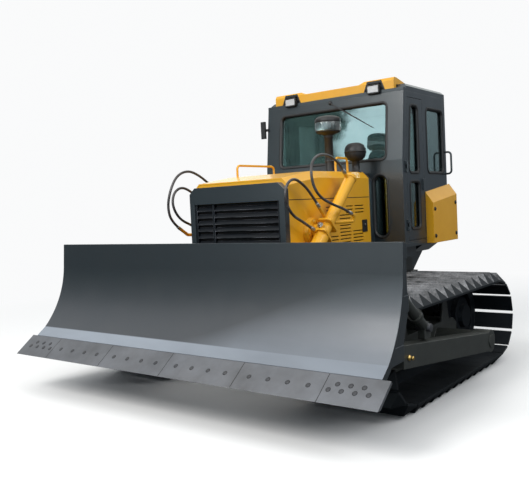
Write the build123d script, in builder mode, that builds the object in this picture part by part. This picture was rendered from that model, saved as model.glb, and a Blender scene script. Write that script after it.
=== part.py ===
from build123d import *
from math import cos, pi, radians, sin, sqrt, tan
import os

os.makedirs("parts", exist_ok=True)

# A swamp bulldozer standing on its tracks with the blade carried clear of the ground.
# Millimetres. +Z is up, the blade faces -Y, and the machine's left side is +X.
# The origin is on the ground under the middle of the machine's length and width.

# Overall sizes
overall_length = 4900
blade_width = 4150
overall_height = 3110
front = -overall_length / 2
rear = overall_length / 2

# General clearances and plate thicknesses
seat_gap = 0.3
pin_clearance = 0.5
glass_thickness = 6

# Tracks
track_gauge = 2650
shoe_width = 1020
link_pitch = 170
links_round_wheel = 12
links_along_flat = 12
grouser_height = 90
grouser_tip = 14
grouser_hip = 75
shoe_plate = 20
shoe_gap = 5
link_outside = 45
link_inside = 60
rail_inner_gap = 110
rail_thickness = 40
bushing_radius = 28
bushing_sides = 6
track_x = track_gauge / 2
pin_radius = link_pitch / 2 / sin(pi / links_round_wheel)
pin_apothem = link_pitch / 2 / tan(pi / links_round_wheel)
wheel_z = pin_radius + link_outside + shoe_plate + grouser_height
idler_y = front + 1110
sprocket_y = idler_y + links_along_flat * link_pitch
track_inner_x = track_x - shoe_width / 2
rail_z = wheel_z - pin_radius + link_inside

# Track frame, rollers, idler and sprocket
frame_side = 130
frame_plate = 20
frame_bottom = 250
frame_top = 530
roller_radius = 75
roller_count = 7
roller_flange = 12
roller_gap = 8
carrier_radius = 65
carrier_places = (500, 1450)
idler_tread = pin_apothem - link_inside - seat_gap
idler_flange = idler_tread + 18
idler_hub = 75
sprocket_width = 70
sprocket_tip = pin_radius + 16
sprocket_hub = 190
final_drive_radius = 250
final_drive_neck = 620
final_drive_face = 1060
final_drive_step = 1170
final_drive_hub = 150
trunnion_y = front + 2370
trunnion_z = 400
trunnion_radius = 60

# Main frame and power train
chassis_half = 450
chassis_rail = 70
chassis_front = front + 1120
chassis_rear = front + 4150
chassis_bottom = 560
chassis_top = 860
belly_plate = 16
case_half = 380
case_front = front + 3000
case_top = 1150
engine_half = 290
engine_front = front + 1500
engine_rear = front + 2620
engine_bottom = 830
engine_top = 1700
engine_foot = 120
engine_foot_inset = 150
equalizer_y = front + 2050
equalizer_width = 160

# Radiator guard, grille and hood
guard_half = 590
guard_depth = 70
guard_top = 1975
guard_band = 168
guard_side = 60
grille_bottom = 880
divider_x = -290
stile_width = 24
slat_pitch = 67
slat_depth = 34
slat_thickness = 6
hood_half = 590
hood_flat_half = 520
hood_seam = 1810
hood_side_top = 2015
hood_top = 2085
hood_nose_drop = 69
hood_bend = front + 1680
hood_rear = front + 2705
cowl_half = 545
hood_sheet = 16
side_bottom = 1100
side_sheet = 16
louvre_height = 10

# Cab
cab_half = 920
cab_wall = 60
cab_front = front + 2870
cab_rear = front + 4060
cab_lean_from = 2200
cab_lean = 6.7
floor_bottom = 1240
floor_top = 1280
visor_rise = 75
roof_thickness = 85
roof_lip = 35
roof_top = overall_height - visor_rise
wall_top = roof_top - roof_thickness
roof_bottom = wall_top
visor_half = 805
visor_bottom = roof_bottom + roof_lip
visor_depth = 330
visor_lid = 70
lamp_x = 565
lamp_width = 150
lamp_height = 92
windscreen_half = 720
windscreen_bottom = 2215
windscreen_header = 105
windscreen_top = wall_top - windscreen_header
toe_window_x = 640
toe_window_width = 180
toe_window_bottom = 1355
toe_window_top = 2050
door_front = cab_front + 90
door_rear = front + 3412
door_bottom = 1305
door_header = 65
door_top = wall_top - door_header
door_gap = 6
door_window_bottom = 2050
door_stile = 75
hinge_offset = 14
hinge_radius = 12
quarter_front = front + 3520
quarter_rear = front + 3985
quarter_bottom = 2060
quarter_header = 150
quarter_top = wall_top - quarter_header
rear_window_half = 640
rear_window_bottom = 2060

# Blade
blade_tip_z = 380
blade_height = 1075
moldboard_width = 4010
moldboard_sheet = 25
curve_radius = 959
curve_start = -45
curve_end = -4.5
edge_length = 260
edge_thickness = 25
edge_angle = 37
edge_gap = 3
edge_corner = 45
wear_strip = 120
end_bit_width = 490
edge_count = 4
beam_depth = 660
rib_thickness = 20
rib_end_gap = 3
end_rib = moldboard_width / 2 - rib_end_gap - rib_thickness / 2
rib_places = (0, 500, 1000, 1500, end_rib)
arm_inset = 5
arm_outer_x = moldboard_width / 2 - arm_inset
arm_width = 150
arm_height = 175
arm_boss = 105
brace_x = arm_outer_x - arm_width / 2
brace_radius = 42

# Lift cylinders: places in the side view, measured behind the blade's tip and up from the ground
cylinder_x = 735
lift_pivot = (front + 1540, 1495)
lift_eye = (front + 870, 854)
barrel_radius = 56
sleeve_radius = 70
barrel_behind = 746
barrel_ahead = 430
barrel_end_cap = 25
bore_radius = 42
gland_length = 60
rod_radius = 27
rod_length = 1203
piston_length = 60
eye_radius = 50
eye_width = 56
ear_gap = 66
ear_thickness = 20
yoke_pin_radius = 40
yoke_hub_radius = 75
boss_radius = 140
boss_depth = 50


def side_plane(x):
    """A sketch plane seen from the left: its x is the machine's Y and its y is Z."""
    return Plane.YZ.offset(x)


def front_plane(y):
    """A sketch plane seen from the front: its x is X, its y is Z, and it faces -Y."""
    return Plane(origin=(0, y, 0), x_dir=(1, 0, 0), z_dir=(0, -1, 0))


def span_box(x_span, y_span, z_span, mode=Mode.ADD):
    """A box between two planes in each direction."""
    middle = [(low + high) / 2 for low, high in (x_span, y_span, z_span)]
    sizes = [abs(high - low) for low, high in (x_span, y_span, z_span)]
    with Locations(tuple(middle)):
        Box(*sizes, mode=mode)


# Track chain: the pins lie on two half circles and two flats, one pitch apart; a bushing is drawn
# with six sides, because there are so many of them
def pin_places():
    turn = 360 / links_round_wheel
    places = []
    for step in range(links_round_wheel // 2):
        angle = radians(90 + step * turn)
        places.append((idler_y + pin_radius * cos(angle), wheel_z + pin_radius * sin(angle)))
    for step in range(links_along_flat):
        places.append((idler_y + step * link_pitch, wheel_z - pin_radius))
    for step in range(links_round_wheel // 2):
        angle = radians(-90 + step * turn)
        places.append((sprocket_y + pin_radius * cos(angle), wheel_z + pin_radius * sin(angle)))
    for step in range(links_along_flat):
        places.append((sprocket_y - step * link_pitch, wheel_z + pin_radius))
    return places


pins = pin_places()
rail_spans = [
    (track_x + side * rail_inner_gap / 2, track_x + side * (rail_inner_gap / 2 + rail_thickness))
    for side in (-1, 1)
]

with BuildSketch() as chain_hollow:
    with BuildLine():
        Polyline(*pins, close=True)
    make_face()
    offset(amount=-link_inside, kind=Kind.INTERSECTION)
with BuildSketch() as chain_band:
    with BuildLine():
        Polyline(*pins, close=True)
    make_face()
    offset(amount=link_outside, kind=Kind.INTERSECTION)
    add(chain_hollow.sketch, mode=Mode.SUBTRACT)

# One shoe: a plate with a wide ridge whose ends slope down
with BuildPart() as shoe:
    with BuildSketch():
        Rectangle(shoe_width, link_pitch - shoe_gap)
    extrude(amount=shoe_plate)
    with BuildSketch(Plane.XY.offset(shoe_plate)):
        Rectangle(shoe_width, link_pitch - shoe_gap)
    with BuildSketch(Plane.XY.offset(shoe_plate + grouser_height)):
        Rectangle(shoe_width - 2 * grouser_hip, grouser_tip)
    loft(ruled=True)

shoe_seats = []
for (y_from, z_from), (y_to, z_to) in zip(pins, pins[1:] + pins[:1]):
    along = Vector(0, y_to - y_from, z_to - z_from).normalized()
    outward = Vector(1, 0, 0).cross(along) * -1
    middle = Vector(track_x, (y_from + y_to) / 2, (z_from + z_to) / 2)
    shoe_seats.append(Plane(origin=middle + outward * link_outside, x_dir=(1, 0, 0), z_dir=outward))

with BuildPart() as track_left:
    for x_near, x_far in rail_spans:
        with BuildSketch(side_plane(min(x_near, x_far))):
            add(chain_band.sketch)
        extrude(amount=rail_thickness)
    with BuildSketch(side_plane(track_x - rail_inner_gap / 2)):
        with Locations(*pins):
            RegularPolygon(bushing_radius, bushing_sides)
    extrude(amount=rail_inner_gap)
    with Locations(*shoe_seats):
        add(shoe.part)
track_left.part.label = "track_left"
export_step(track_left.part, "parts/track_left.step")
with BuildPart() as track_right:
    mirror(track_left.part, about=Plane.YZ)
track_right.part.label = "track_right"
export_step(track_right.part, "parts/track_right.step")

# Sprockets: one tooth between each pair of pins
with BuildPart() as sprockets:
    with BuildSketch(side_plane(track_x - sprocket_width / 2)):
        with Locations((sprocket_y, wheel_z)):
            Circle(sprocket_tip)
        for step in range(links_round_wheel):
            angle = radians(90 + step * 360 / links_round_wheel)
            at = (sprocket_y + pin_radius * cos(angle), wheel_z + pin_radius * sin(angle))
            mouth = (sprocket_y + sprocket_tip * cos(angle), wheel_z + sprocket_tip * sin(angle))
            with Locations(at):
                Circle(bushing_radius + seat_gap, mode=Mode.SUBTRACT)
            with Locations(mouth):
                Circle(bushing_radius + 4, mode=Mode.SUBTRACT)
    extrude(amount=sprocket_width)
    with BuildSketch(side_plane(track_x + sprocket_width / 2)):
        with Locations((sprocket_y, wheel_z)):
            Circle(sprocket_hub)
    extrude(amount=60)
    with BuildSketch(side_plane(track_x + sprocket_width / 2 + 60)):
        with Locations((sprocket_y, wheel_z)):
            Circle(sprocket_hub - 60)
    extrude(amount=45, taper=12)
    mirror(about=Plane.YZ)
sprockets.part.label = "sprockets"
export_step(sprockets.part, "parts/sprockets.step")

# Final drives: a stepped case from the steering case out to the sprocket
drive_steps = (
    # from x, to x, radius
    (chassis_half + seat_gap, final_drive_neck, final_drive_radius - 40),
    (final_drive_neck, final_drive_face, final_drive_radius),
    (final_drive_face, final_drive_step, final_drive_radius - 50),
    (final_drive_step, track_x - sprocket_width / 2, final_drive_hub),
)
with BuildPart() as final_drives:
    for x_from, x_to, radius in drive_steps:
        with BuildSketch(side_plane(x_from)):
            with Locations((sprocket_y, wheel_z)):
                Circle(radius)
        extrude(amount=x_to - x_from)
    mirror(about=Plane.YZ)
final_drives.part.label = "final_drives"
export_step(final_drives.part, "parts/final_drives.step")

# Idlers: two treads for the rails and a flange that runs between them
idler_half = rail_inner_gap / 2 + rail_thickness + 5
flange_half = rail_inner_gap / 2 - 5
with BuildPart() as idlers:
    with BuildSketch(Plane(origin=(track_x, idler_y, wheel_z), x_dir=(1, 0, 0), z_dir=(0, -1, 0))):
        with BuildLine():
            Polyline(
                (0, 0),
                (0, idler_flange),
                (-flange_half, idler_flange),
                (-flange_half, idler_tread),
                (-idler_half, idler_tread),
                (-idler_half, idler_tread - 40),
                (-25, idler_tread - 70),
                (-25, idler_hub + 45),
                (-idler_half, idler_hub + 20),
                (-frame_side, idler_hub),
                (-frame_side, 0),
                close=True,
            )
        make_face()
        mirror(about=Plane.YZ)
    revolve(axis=Axis((track_x, idler_y, wheel_z), (1, 0, 0)))
    mirror(about=Plane.YZ)
idlers.part.label = "idlers"
export_step(idlers.part, "parts/idlers.step")

# Track rollers under the frame and carrier rollers above it
roller_z = rail_z + roller_radius + seat_gap
roller_drop = wheel_z - roller_z
roller_reach = roller_radius + roller_flange + roller_gap
roller_first = idler_y + sqrt((idler_flange + roller_reach) ** 2 - roller_drop**2)
roller_last = sprocket_y - sqrt((sprocket_tip + roller_reach) ** 2 - roller_drop**2)
roller_step = (roller_last - roller_first) / (roller_count - 1)
carrier_z = wheel_z + pin_radius - link_inside - carrier_radius - seat_gap
roller_table = [(roller_first + step * roller_step, roller_z, roller_radius) for step in range(roller_count)]
roller_table += [(idler_y + place, carrier_z, carrier_radius) for place in carrier_places]
with BuildPart() as rollers:
    for roller_y, height, radius in roller_table:
        shaft = radius * 0.45
        with BuildSketch(Plane(origin=(track_x, roller_y, height), x_dir=(1, 0, 0), z_dir=(0, -1, 0))):
            with BuildLine():
                Polyline(
                    (-frame_side, 0),
                    (-frame_side, shaft),
                    (-idler_half - 8, shaft),
                    (-idler_half - 8, radius),
                    (-flange_half, radius),
                    (-flange_half, radius + roller_flange),
                    (0, radius + roller_flange),
                    (0, 0),
                    close=True,
                )
            make_face()
            mirror(about=Plane.YZ)
        revolve(axis=Axis((track_x, roller_y, height), (1, 0, 0)))
    mirror(about=Plane.YZ)
rollers.part.label = "rollers"
export_step(rollers.part, "parts/rollers.step")

# Track frame: a box on top of two side plates that hold the roller shafts and the idler
frame_front = idler_y - 95
frame_back = roller_last + 80
plate_spans = [
    (track_x + side * frame_side, track_x + side * (frame_side + frame_plate)) for side in (-1, 1)
]
frame_lid = 16
carrier_bracket = 90
with BuildPart() as track_frame_left:
    for x_near, x_far in plate_spans:
        with BuildSketch(side_plane(min(x_near, x_far))):
            with BuildLine():
                Polyline(
                    (frame_front, wheel_z + 80),
                    (frame_front, wheel_z - 80),
                    (idler_y + 120, frame_bottom),
                    (frame_back - 60, frame_bottom),
                    (frame_back, frame_bottom + 120),
                    (frame_back, frame_top - 60),
                    (frame_back - 80, frame_top),
                    (idler_y + 200, frame_top),
                    (idler_y + 140, wheel_z + 80),
                    close=True,
                )
            make_face()
        extrude(amount=frame_plate)
        for place in carrier_places:
            with BuildSketch(side_plane(min(x_near, x_far))):
                with BuildLine():
                    Polyline(
                        (idler_y + place - carrier_bracket, frame_top),
                        (idler_y + place + carrier_bracket, frame_top),
                        (idler_y + place + 45, carrier_z + 40),
                        (idler_y + place - 45, carrier_z + 40),
                        close=True,
                    )
                make_face()
            extrude(amount=frame_plate)
    span_box(
        (track_x - frame_side, track_x + frame_side),
        (idler_y + 380, frame_back - 80),
        (frame_top - frame_lid, frame_top),
    )
    span_box(
        (track_x - frame_side, track_x + frame_side),
        (idler_y + 380, frame_back - 80),
        (roller_z + roller_radius + roller_flange + 12, roller_z + roller_radius + roller_flange + 28),
    )
    for x_near, x_far, radius in (
        (plate_spans[1][1], arm_outer_x - arm_width - 10, trunnion_radius + 30),
        (arm_outer_x - arm_width - 10, arm_outer_x + 8, trunnion_radius),
    ):
        with BuildSketch(side_plane(x_near)):
            with Locations((trunnion_y, trunnion_z)):
                Circle(radius)
        extrude(amount=x_far - x_near)
track_frame_left.part.label = "track_frame_left"
export_step(track_frame_left.part, "parts/track_frame_left.step")
with BuildPart() as track_frame_right:
    mirror(track_frame_left.part, about=Plane.YZ)
track_frame_right.part.label = "track_frame_right"
export_step(track_frame_right.part, "parts/track_frame_right.step")

# Equalizer bar: rests on both track frames and pivots under the engine
equalizer_seat = frame_top + seat_gap
with BuildPart() as equalizer_bar:
    with BuildSketch(front_plane(equalizer_y + equalizer_width / 2)):
        with BuildLine():
            Polyline(
                (0, equalizer_seat + 190),
                (-chassis_half - 120, equalizer_seat + 190),
                (-track_x + 90, equalizer_seat + 120),
                (-track_x - 110, equalizer_seat + 100),
                (-track_x - 110, equalizer_seat),
                (-track_x + 110, equalizer_seat),
                (-chassis_half - 120, equalizer_seat + 40),
                (0, equalizer_seat + 20),
                close=True,
            )
        make_face()
        mirror(about=Plane.YZ)
    extrude(amount=equalizer_width)
equalizer_bar.part.label = "equalizer_bar"
export_step(equalizer_bar.part, "parts/equalizer_bar.step")

# Main frame: two rails over the equalizer bar, cross members and a belly plate
rail_low = equalizer_seat + 190 + seat_gap
pivot_shaft_y = frame_back - 150
pivot_shaft_z = 445
pivot_shaft_radius = 60
hanger_radius = 92
hanger_foot = 320
pivot_shaft_end = track_x - frame_side - frame_plate - seat_gap
with BuildPart() as main_frame:
    for side in (-1, 1):
        with BuildSketch(side_plane(side * (chassis_half - chassis_rail / 2) - chassis_rail / 2)):
            with BuildLine():
                Polyline(
                    (chassis_front, chassis_bottom),
                    (equalizer_y - equalizer_width, chassis_bottom),
                    (equalizer_y - equalizer_width / 2 - 20, rail_low),
                    (equalizer_y + equalizer_width / 2 + 20, rail_low),
                    (equalizer_y + equalizer_width, chassis_bottom),
                    (chassis_rear, chassis_bottom),
                    (chassis_rear, chassis_top),
                    (chassis_front, chassis_top),
                    close=True,
                )
            make_face()
        extrude(amount=chassis_rail)
        with BuildSketch(side_plane(side * chassis_half)):
            with Locations((pivot_shaft_y, pivot_shaft_z)):
                Circle(pivot_shaft_radius)
        extrude(amount=side * (pivot_shaft_end - chassis_half))
        with BuildSketch(side_plane(side * (chassis_half - chassis_rail / 2) - chassis_rail / 2)):
            with Locations((pivot_shaft_y, pivot_shaft_z)):
                Circle(hanger_radius)
            with Locations((pivot_shaft_y, chassis_bottom + 10)):
                Rectangle(hanger_foot, 20)
            make_hull()
        extrude(amount=chassis_rail)
    inner = chassis_half - chassis_rail
    for y_from, y_to, z_from, z_to in (
        (chassis_front, chassis_front + 60, chassis_bottom, chassis_top),
        (chassis_front + 60, equalizer_y - equalizer_width, chassis_bottom, chassis_bottom + belly_plate),
        (equalizer_y + equalizer_width, case_front - 10, chassis_bottom, chassis_bottom + belly_plate),
    ):
        span_box((-inner, inner), (y_from, y_to), (z_from, z_to))
main_frame.part.label = "main_frame"
export_step(main_frame.part, "parts/main_frame.step")

# Steering and transmission case at the back, engine in front of it
with BuildPart() as rear_case:
    with BuildSketch(side_plane(-case_half)):
        with BuildLine():
            Polyline(
                (case_front, chassis_bottom),
                (chassis_rear - 60, chassis_bottom),
                (chassis_rear, chassis_bottom + 90),
                (chassis_rear, case_top - 160),
                (chassis_rear - 120, case_top),
                (case_front + 160, case_top),
                (case_front, case_top - 120),
                close=True,
            )
        make_face()
    extrude(amount=2 * case_half)
rear_case.part.label = "rear_case"
export_step(rear_case.part, "parts/rear_case.step")

with BuildPart() as engine_block:
    span_box((-engine_half, engine_half), (engine_front, engine_rear), (engine_bottom, engine_top))
    for foot_front in (engine_front + engine_foot_inset, engine_rear - engine_foot_inset - engine_foot):
        span_box(
            (-chassis_half, chassis_half),
            (foot_front, foot_front + engine_foot),
            (chassis_top + seat_gap, chassis_top + engine_foot),
        )
engine_block.part.label = "engine_block"
export_step(engine_block.part, "parts/engine_block.step")

# Drawbar: a jaw with an upright pin bore on the back of the case
jaw_width = 240
jaw_ear = 40
jaw_gap = 80
jaw_bore = 26
jaw_throat = 130
jaw_z = chassis_bottom + 60
jaw_pin_y = rear - 90
with BuildPart() as drawbar:
    span_box((-180, 180), (chassis_rear, chassis_rear + 50), (chassis_bottom, chassis_bottom + 320))
    for z_from in (jaw_z, jaw_z + jaw_ear + jaw_gap):
        with BuildSketch(Plane.XY.offset(z_from)):
            with Locations((0, (chassis_rear + 50 + jaw_pin_y) / 2)):
                Rectangle(jaw_width, jaw_pin_y - chassis_rear - 50)
            with Locations((0, jaw_pin_y)):
                Circle(90)
                Circle(jaw_bore, mode=Mode.SUBTRACT)
        extrude(amount=jaw_ear)
    span_box(
        (-jaw_width / 2, jaw_width / 2),
        (chassis_rear + 50, jaw_pin_y - jaw_throat),
        (jaw_z + jaw_ear, jaw_z + jaw_ear + jaw_gap),
    )
drawbar.part.label = "drawbar"
export_step(drawbar.part, "parts/drawbar.step")

# Radiator guard: an open steel frame with a deep band across its top
guard_inner = guard_half - guard_side
guard_front = front + 1120
with BuildPart() as radiator_guard:
    with BuildSketch(front_plane(guard_front + guard_depth)):
        with BuildLine():
            Polyline(
                (-guard_half, chassis_top),
                (guard_half, chassis_top),
                (guard_half, guard_top - 62),
                (hood_flat_half, guard_top),
                (-hood_flat_half, guard_top),
                (-guard_half, guard_top - 62),
                close=True,
            )
        make_face()
        with Locations((0, (grille_bottom + 60 + guard_top - guard_band) / 2)):
            Rectangle(2 * guard_inner, guard_top - guard_band - grille_bottom - 60, mode=Mode.SUBTRACT)
    extrude(amount=guard_depth)
radiator_guard.part.label = "radiator_guard"
export_step(radiator_guard.part, "parts/radiator_guard.step")

# Grille: sloping slats between two stiles with an upright divider
grille_low = grille_bottom + 60
grille_high = guard_top - guard_band
slat_count = int((grille_high - grille_low - 20) / slat_pitch)
with BuildPart() as grille:
    for middle_x in (stile_width / 2 - guard_inner, divider_x, guard_inner - stile_width / 2):
        span_box(
            (middle_x - stile_width / 2, middle_x + stile_width / 2),
            (guard_front + 12, guard_front + 12 + slat_depth),
            (grille_low, grille_high),
        )
    for step in range(slat_count):
        slat_z = grille_high - 20 - slat_pitch * (step + 0.5)
        with BuildSketch(side_plane(-guard_inner)):
            with BuildLine():
                Polyline(
                    (guard_front + 14, slat_z - 18),
                    (guard_front + 14, slat_z - 18 + slat_thickness),
                    (guard_front + 10 + slat_depth, slat_z + 18 + slat_thickness),
                    (guard_front + 10 + slat_depth, slat_z + 18),
                    close=True,
                )
            make_face()
        extrude(amount=2 * guard_inner)
grille.part.label = "grille"
export_step(grille.part, "parts/grille.step")

# Hood: a chamfered sheet cover that falls towards the nose


def hood_section(drop, inset):
    """Half outline of the hood's section, drop lower and inset smaller all round."""
    half = hood_half - inset
    flat = hood_flat_half - inset * 0.41
    return (
        (-half, hood_seam),
        (-half, hood_side_top - drop - inset * 0.41),
        (-flat, hood_top - drop - inset),
        (flat, hood_top - drop - inset),
        (half, hood_side_top - drop - inset * 0.41),
        (half, hood_seam),
    )


with BuildPart() as hood:
    for inset, mode in ((0, Mode.ADD), (hood_sheet, Mode.SUBTRACT)):
        with BuildSketch(front_plane(hood_bend)):
            with BuildLine():
                Polyline(*hood_section(0, inset), close=True)
            make_face()
        extrude(amount=hood_bend - hood_rear, mode=mode)
        with BuildSketch(front_plane(hood_bend)):
            with BuildLine():
                Polyline(*hood_section(0, inset), close=True)
            make_face()
        with BuildSketch(front_plane(guard_front + guard_depth + seat_gap)):
            with BuildLine():
                Polyline(*hood_section(hood_nose_drop, inset), close=True)
            make_face()
        loft(ruled=True, mode=mode)
hood.part.label = "hood"
export_step(hood.part, "parts/hood.step")

# Cowl: a narrower folded sheet that closes the gap between the hood and the cab
cowl_drop = 26
cowl_lap = 40
with BuildPart() as cowl:
    for inset, mode in ((0, Mode.ADD), (hood_sheet, Mode.SUBTRACT)):
        with BuildSketch(front_plane(cab_front - seat_gap)):
            with BuildLine():
                Polyline(
                    (-cowl_half + inset, side_bottom),
                    (-cowl_half + inset, hood_side_top - cowl_drop - inset),
                    (-cowl_half + 60, hood_top - cowl_drop - inset),
                    (cowl_half - 60, hood_top - cowl_drop - inset),
                    (cowl_half - inset, hood_side_top - cowl_drop - inset),
                    (cowl_half - inset, side_bottom),
                    close=True,
                )
            make_face()
        extrude(amount=cab_front - seat_gap - hood_rear + cowl_lap, mode=mode)
cowl.part.label = "cowl"
export_step(cowl.part, "parts/cowl.step")

# Engine side panels with rows of louvres
side_front = guard_front + guard_depth + seat_gap
louvre_step = 35
louvre_groups = (
    # top row's height, how many rows, from y, to y
    (1722, 3, front + 1822, front + 1896),
    (1722, 3, front + 2200, front + 2343),
    (1722, 3, front + 2378, front + 2577),
    (1632, 9, front + 2070, front + 2290),
    (1457, 4, front + 2330, front + 2545),
    (1422, 3, front + 1835, front + 2045),
)
with BuildPart() as engine_sides:
    span_box(
        (hood_half - side_sheet, hood_half),
        (side_front, hood_rear),
        (side_bottom, hood_seam - seat_gap),
    )
    for top_row, count, y_from, y_to in louvre_groups:
        for step in range(count):
            with Locations((hood_half, (y_from + y_to) / 2, top_row - step * louvre_step)):
                Box(4 * side_sheet, y_to - y_from, louvre_height, mode=Mode.SUBTRACT)
    mirror(about=Plane.YZ)
engine_sides.part.label = "engine_sides"
export_step(engine_sides.part, "parts/engine_sides.step")

# Exhaust and air intake on the hood
exhaust_place = (475, front + 2640)
exhaust_profile = (
    # radius, height
    (0, hood_top),
    (45, hood_top),
    (45, hood_top + 14),
    (37, hood_top + 14),
    (37, 2200),
    (100, 2208),
    (122, 2240),
    (122, 2370),
    (90, 2400),
    (0, 2408),
)
intake_place = (310, front + 2367)
intake_profile = (
    (0, hood_top),
    (72, hood_top),
    (72, hood_top + 16),
    (45, hood_top + 16),
    (45, 2495),
    (85, 2508),
    (140, 2520),
    (140, 2655),
    (104, 2688),
    (0, 2700),
)


def turning_plane(place):
    """A plane through an upright axis: its x is the radius and its y is the height."""
    return Plane(origin=(*place, 0), x_dir=(1, 0, 0), z_dir=(0, -1, 0))


with BuildPart() as exhaust_stack:
    with BuildSketch(turning_plane(exhaust_place)):
        with BuildLine():
            Polyline(*exhaust_profile, close=True)
        make_face()
    revolve(axis=Axis((*exhaust_place, 0), (0, 0, 1)))
exhaust_stack.part.label = "exhaust_stack"
export_step(exhaust_stack.part, "parts/exhaust_stack.step")

with BuildPart() as air_precleaner:
    with BuildSketch(turning_plane(intake_place)):
        with BuildLine():
            Polyline(*intake_profile, close=True)
        make_face()
    revolve(axis=Axis((*intake_place, 0), (0, 0, 1)))
air_precleaner.part.label = "air_precleaner"
export_step(air_precleaner.part, "parts/air_precleaner.step")

# Handrails on the hood: one each side, along the flat top
rail_tube = 12
rail_bend = 45
hood_rail_table = (
    # x, from y, to y, how high
    (-450, front + 1727, front + 2379, 125),
    (450, front + 2260, front + 2500, 150),
)
with BuildPart() as hood_rails:
    for rail_x, y_from, y_to, rail_height in hood_rail_table:
        with BuildLine() as route:
            FilletPolyline(
                (rail_x, y_from, hood_top),
                (rail_x, y_from, hood_top + rail_height),
                (rail_x, y_to, hood_top + rail_height),
                (rail_x, y_to, hood_top),
                radius=rail_bend,
            )
        with BuildSketch(Plane(origin=(rail_x, y_from, hood_top), z_dir=(0, 0, 1))):
            Circle(rail_tube)
        sweep(path=route.line)
hood_rails.part.label = "hood_rails"
export_step(hood_rails.part, "parts/hood_rails.step")

# Cab floor with its mounts and skirts
mount_size = 90
skirt_x = track_inner_x - 30
with BuildPart() as cab_floor:
    span_box((-cab_half, cab_half), (cab_front, cab_rear), (floor_bottom, floor_top))
    for mount_y in (case_front + 220, chassis_rear - 190):
        for side in (-1, 1):
            mount_x = side * (case_half - mount_size)
            span_box(
                (mount_x - mount_size / 2, mount_x + mount_size / 2),
                (mount_y - mount_size / 2, mount_y + mount_size / 2),
                (case_top, floor_bottom),
            )
    for side in (-1, 1):
        span_box(
            (side * skirt_x, side * (skirt_x - 10)),
            (cab_front, door_rear),
            (floor_bottom - 130, floor_bottom),
        )
cab_floor.part.label = "cab_floor"
export_step(cab_floor.part, "parts/cab_floor.step")

# Cab walls: plates as thick as the whole wall, with their windows cut; the front leans back above the sill
corner = 45
lean_run = (wall_top - cab_lean_from) * tan(radians(cab_lean))


def lean_at(height):
    """How far the cab's front leans back at a height."""
    return max(0, height - cab_lean_from) * tan(radians(cab_lean))


def leaning_panel(front_low, panel_rear, low, high):
    """A side panel's corners: its front edge follows the cab's front."""
    return (
        (front_low, low),
        (panel_rear, low),
        (panel_rear, high),
        (front_low + lean_at(high), high),
        (front_low, cab_lean_from),
    )


with BuildPart() as cab_front_wall:
    with BuildSketch(side_plane(-cab_half)):
        with BuildLine():
            Polyline(
                (cab_front, floor_top),
                (cab_front + cab_wall, floor_top),
                (cab_front + cab_wall, cab_lean_from),
                (cab_front + cab_wall + lean_run, wall_top),
                (cab_front + lean_run, wall_top),
                (cab_front, cab_lean_from),
                close=True,
            )
        make_face()
    extrude(amount=2 * cab_half)
    with BuildSketch(front_plane(cab_front + cab_wall + lean_run)):
        with Locations((0, (windscreen_bottom + windscreen_top) / 2)):
            RectangleRounded(2 * windscreen_half, windscreen_top - windscreen_bottom, corner)
        for side in (-1, 1):
            with Locations((side * toe_window_x, (toe_window_bottom + toe_window_top) / 2)):
                SlotOverall(toe_window_top - toe_window_bottom, toe_window_width, rotation=90)
    extrude(amount=cab_wall + lean_run, mode=Mode.SUBTRACT)
cab_front_wall.part.label = "cab_front"
export_step(cab_front_wall.part, "parts/cab_front.step")

side_from = cab_front + cab_wall
side_to = cab_rear - cab_wall
hinge_x = cab_half + hinge_offset
hinge_y = door_front + door_gap / 2
hinge_heights = (1480, 2120)
knuckle = 40
with BuildPart() as cab_side_left:
    with BuildSketch(side_plane(cab_half - cab_wall)):
        with BuildLine():
            Polyline(*leaning_panel(side_from, side_to, floor_top, wall_top), close=True)
        make_face()
        with BuildLine():
            Polyline(*leaning_panel(door_front, door_rear, door_bottom, door_top), close=True)
        make_face(mode=Mode.SUBTRACT)
        with Locations(((quarter_front + quarter_rear) / 2, (quarter_bottom + quarter_top) / 2)):
            RectangleRounded(
                quarter_rear - quarter_front, quarter_top - quarter_bottom, corner, mode=Mode.SUBTRACT
            )
    extrude(amount=cab_wall)
    for height in hinge_heights:
        for z_from in (height + knuckle / 2 + seat_gap, height - knuckle * 1.5 - seat_gap):
            with BuildSketch(Plane.XY.offset(z_from)):
                with Locations((hinge_x, hinge_y)):
                    Circle(hinge_radius)
                with Locations((cab_half + hinge_offset / 2, hinge_y - 20)):
                    Rectangle(hinge_offset, 30)
            extrude(amount=knuckle)
cab_side_left.part.label = "cab_side_left"
export_step(cab_side_left.part, "parts/cab_side_left.step")
with BuildPart() as cab_side_right:
    mirror(cab_side_left.part, about=Plane.YZ)
cab_side_right.part.label = "cab_side_right"
export_step(cab_side_right.part, "parts/cab_side_right.step")

with BuildPart() as cab_rear_wall:
    with BuildSketch(front_plane(cab_rear)):
        with Locations((0, (floor_top + wall_top) / 2)):
            Rectangle(2 * cab_half, wall_top - floor_top)
        with Locations((0, (rear_window_bottom + windscreen_top) / 2)):
            RectangleRounded(
                2 * rear_window_half, windscreen_top - rear_window_bottom, corner, mode=Mode.SUBTRACT
            )
    extrude(amount=cab_wall)
cab_rear_wall.part.label = "cab_rear"
export_step(cab_rear_wall.part, "parts/cab_rear.step")

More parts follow.
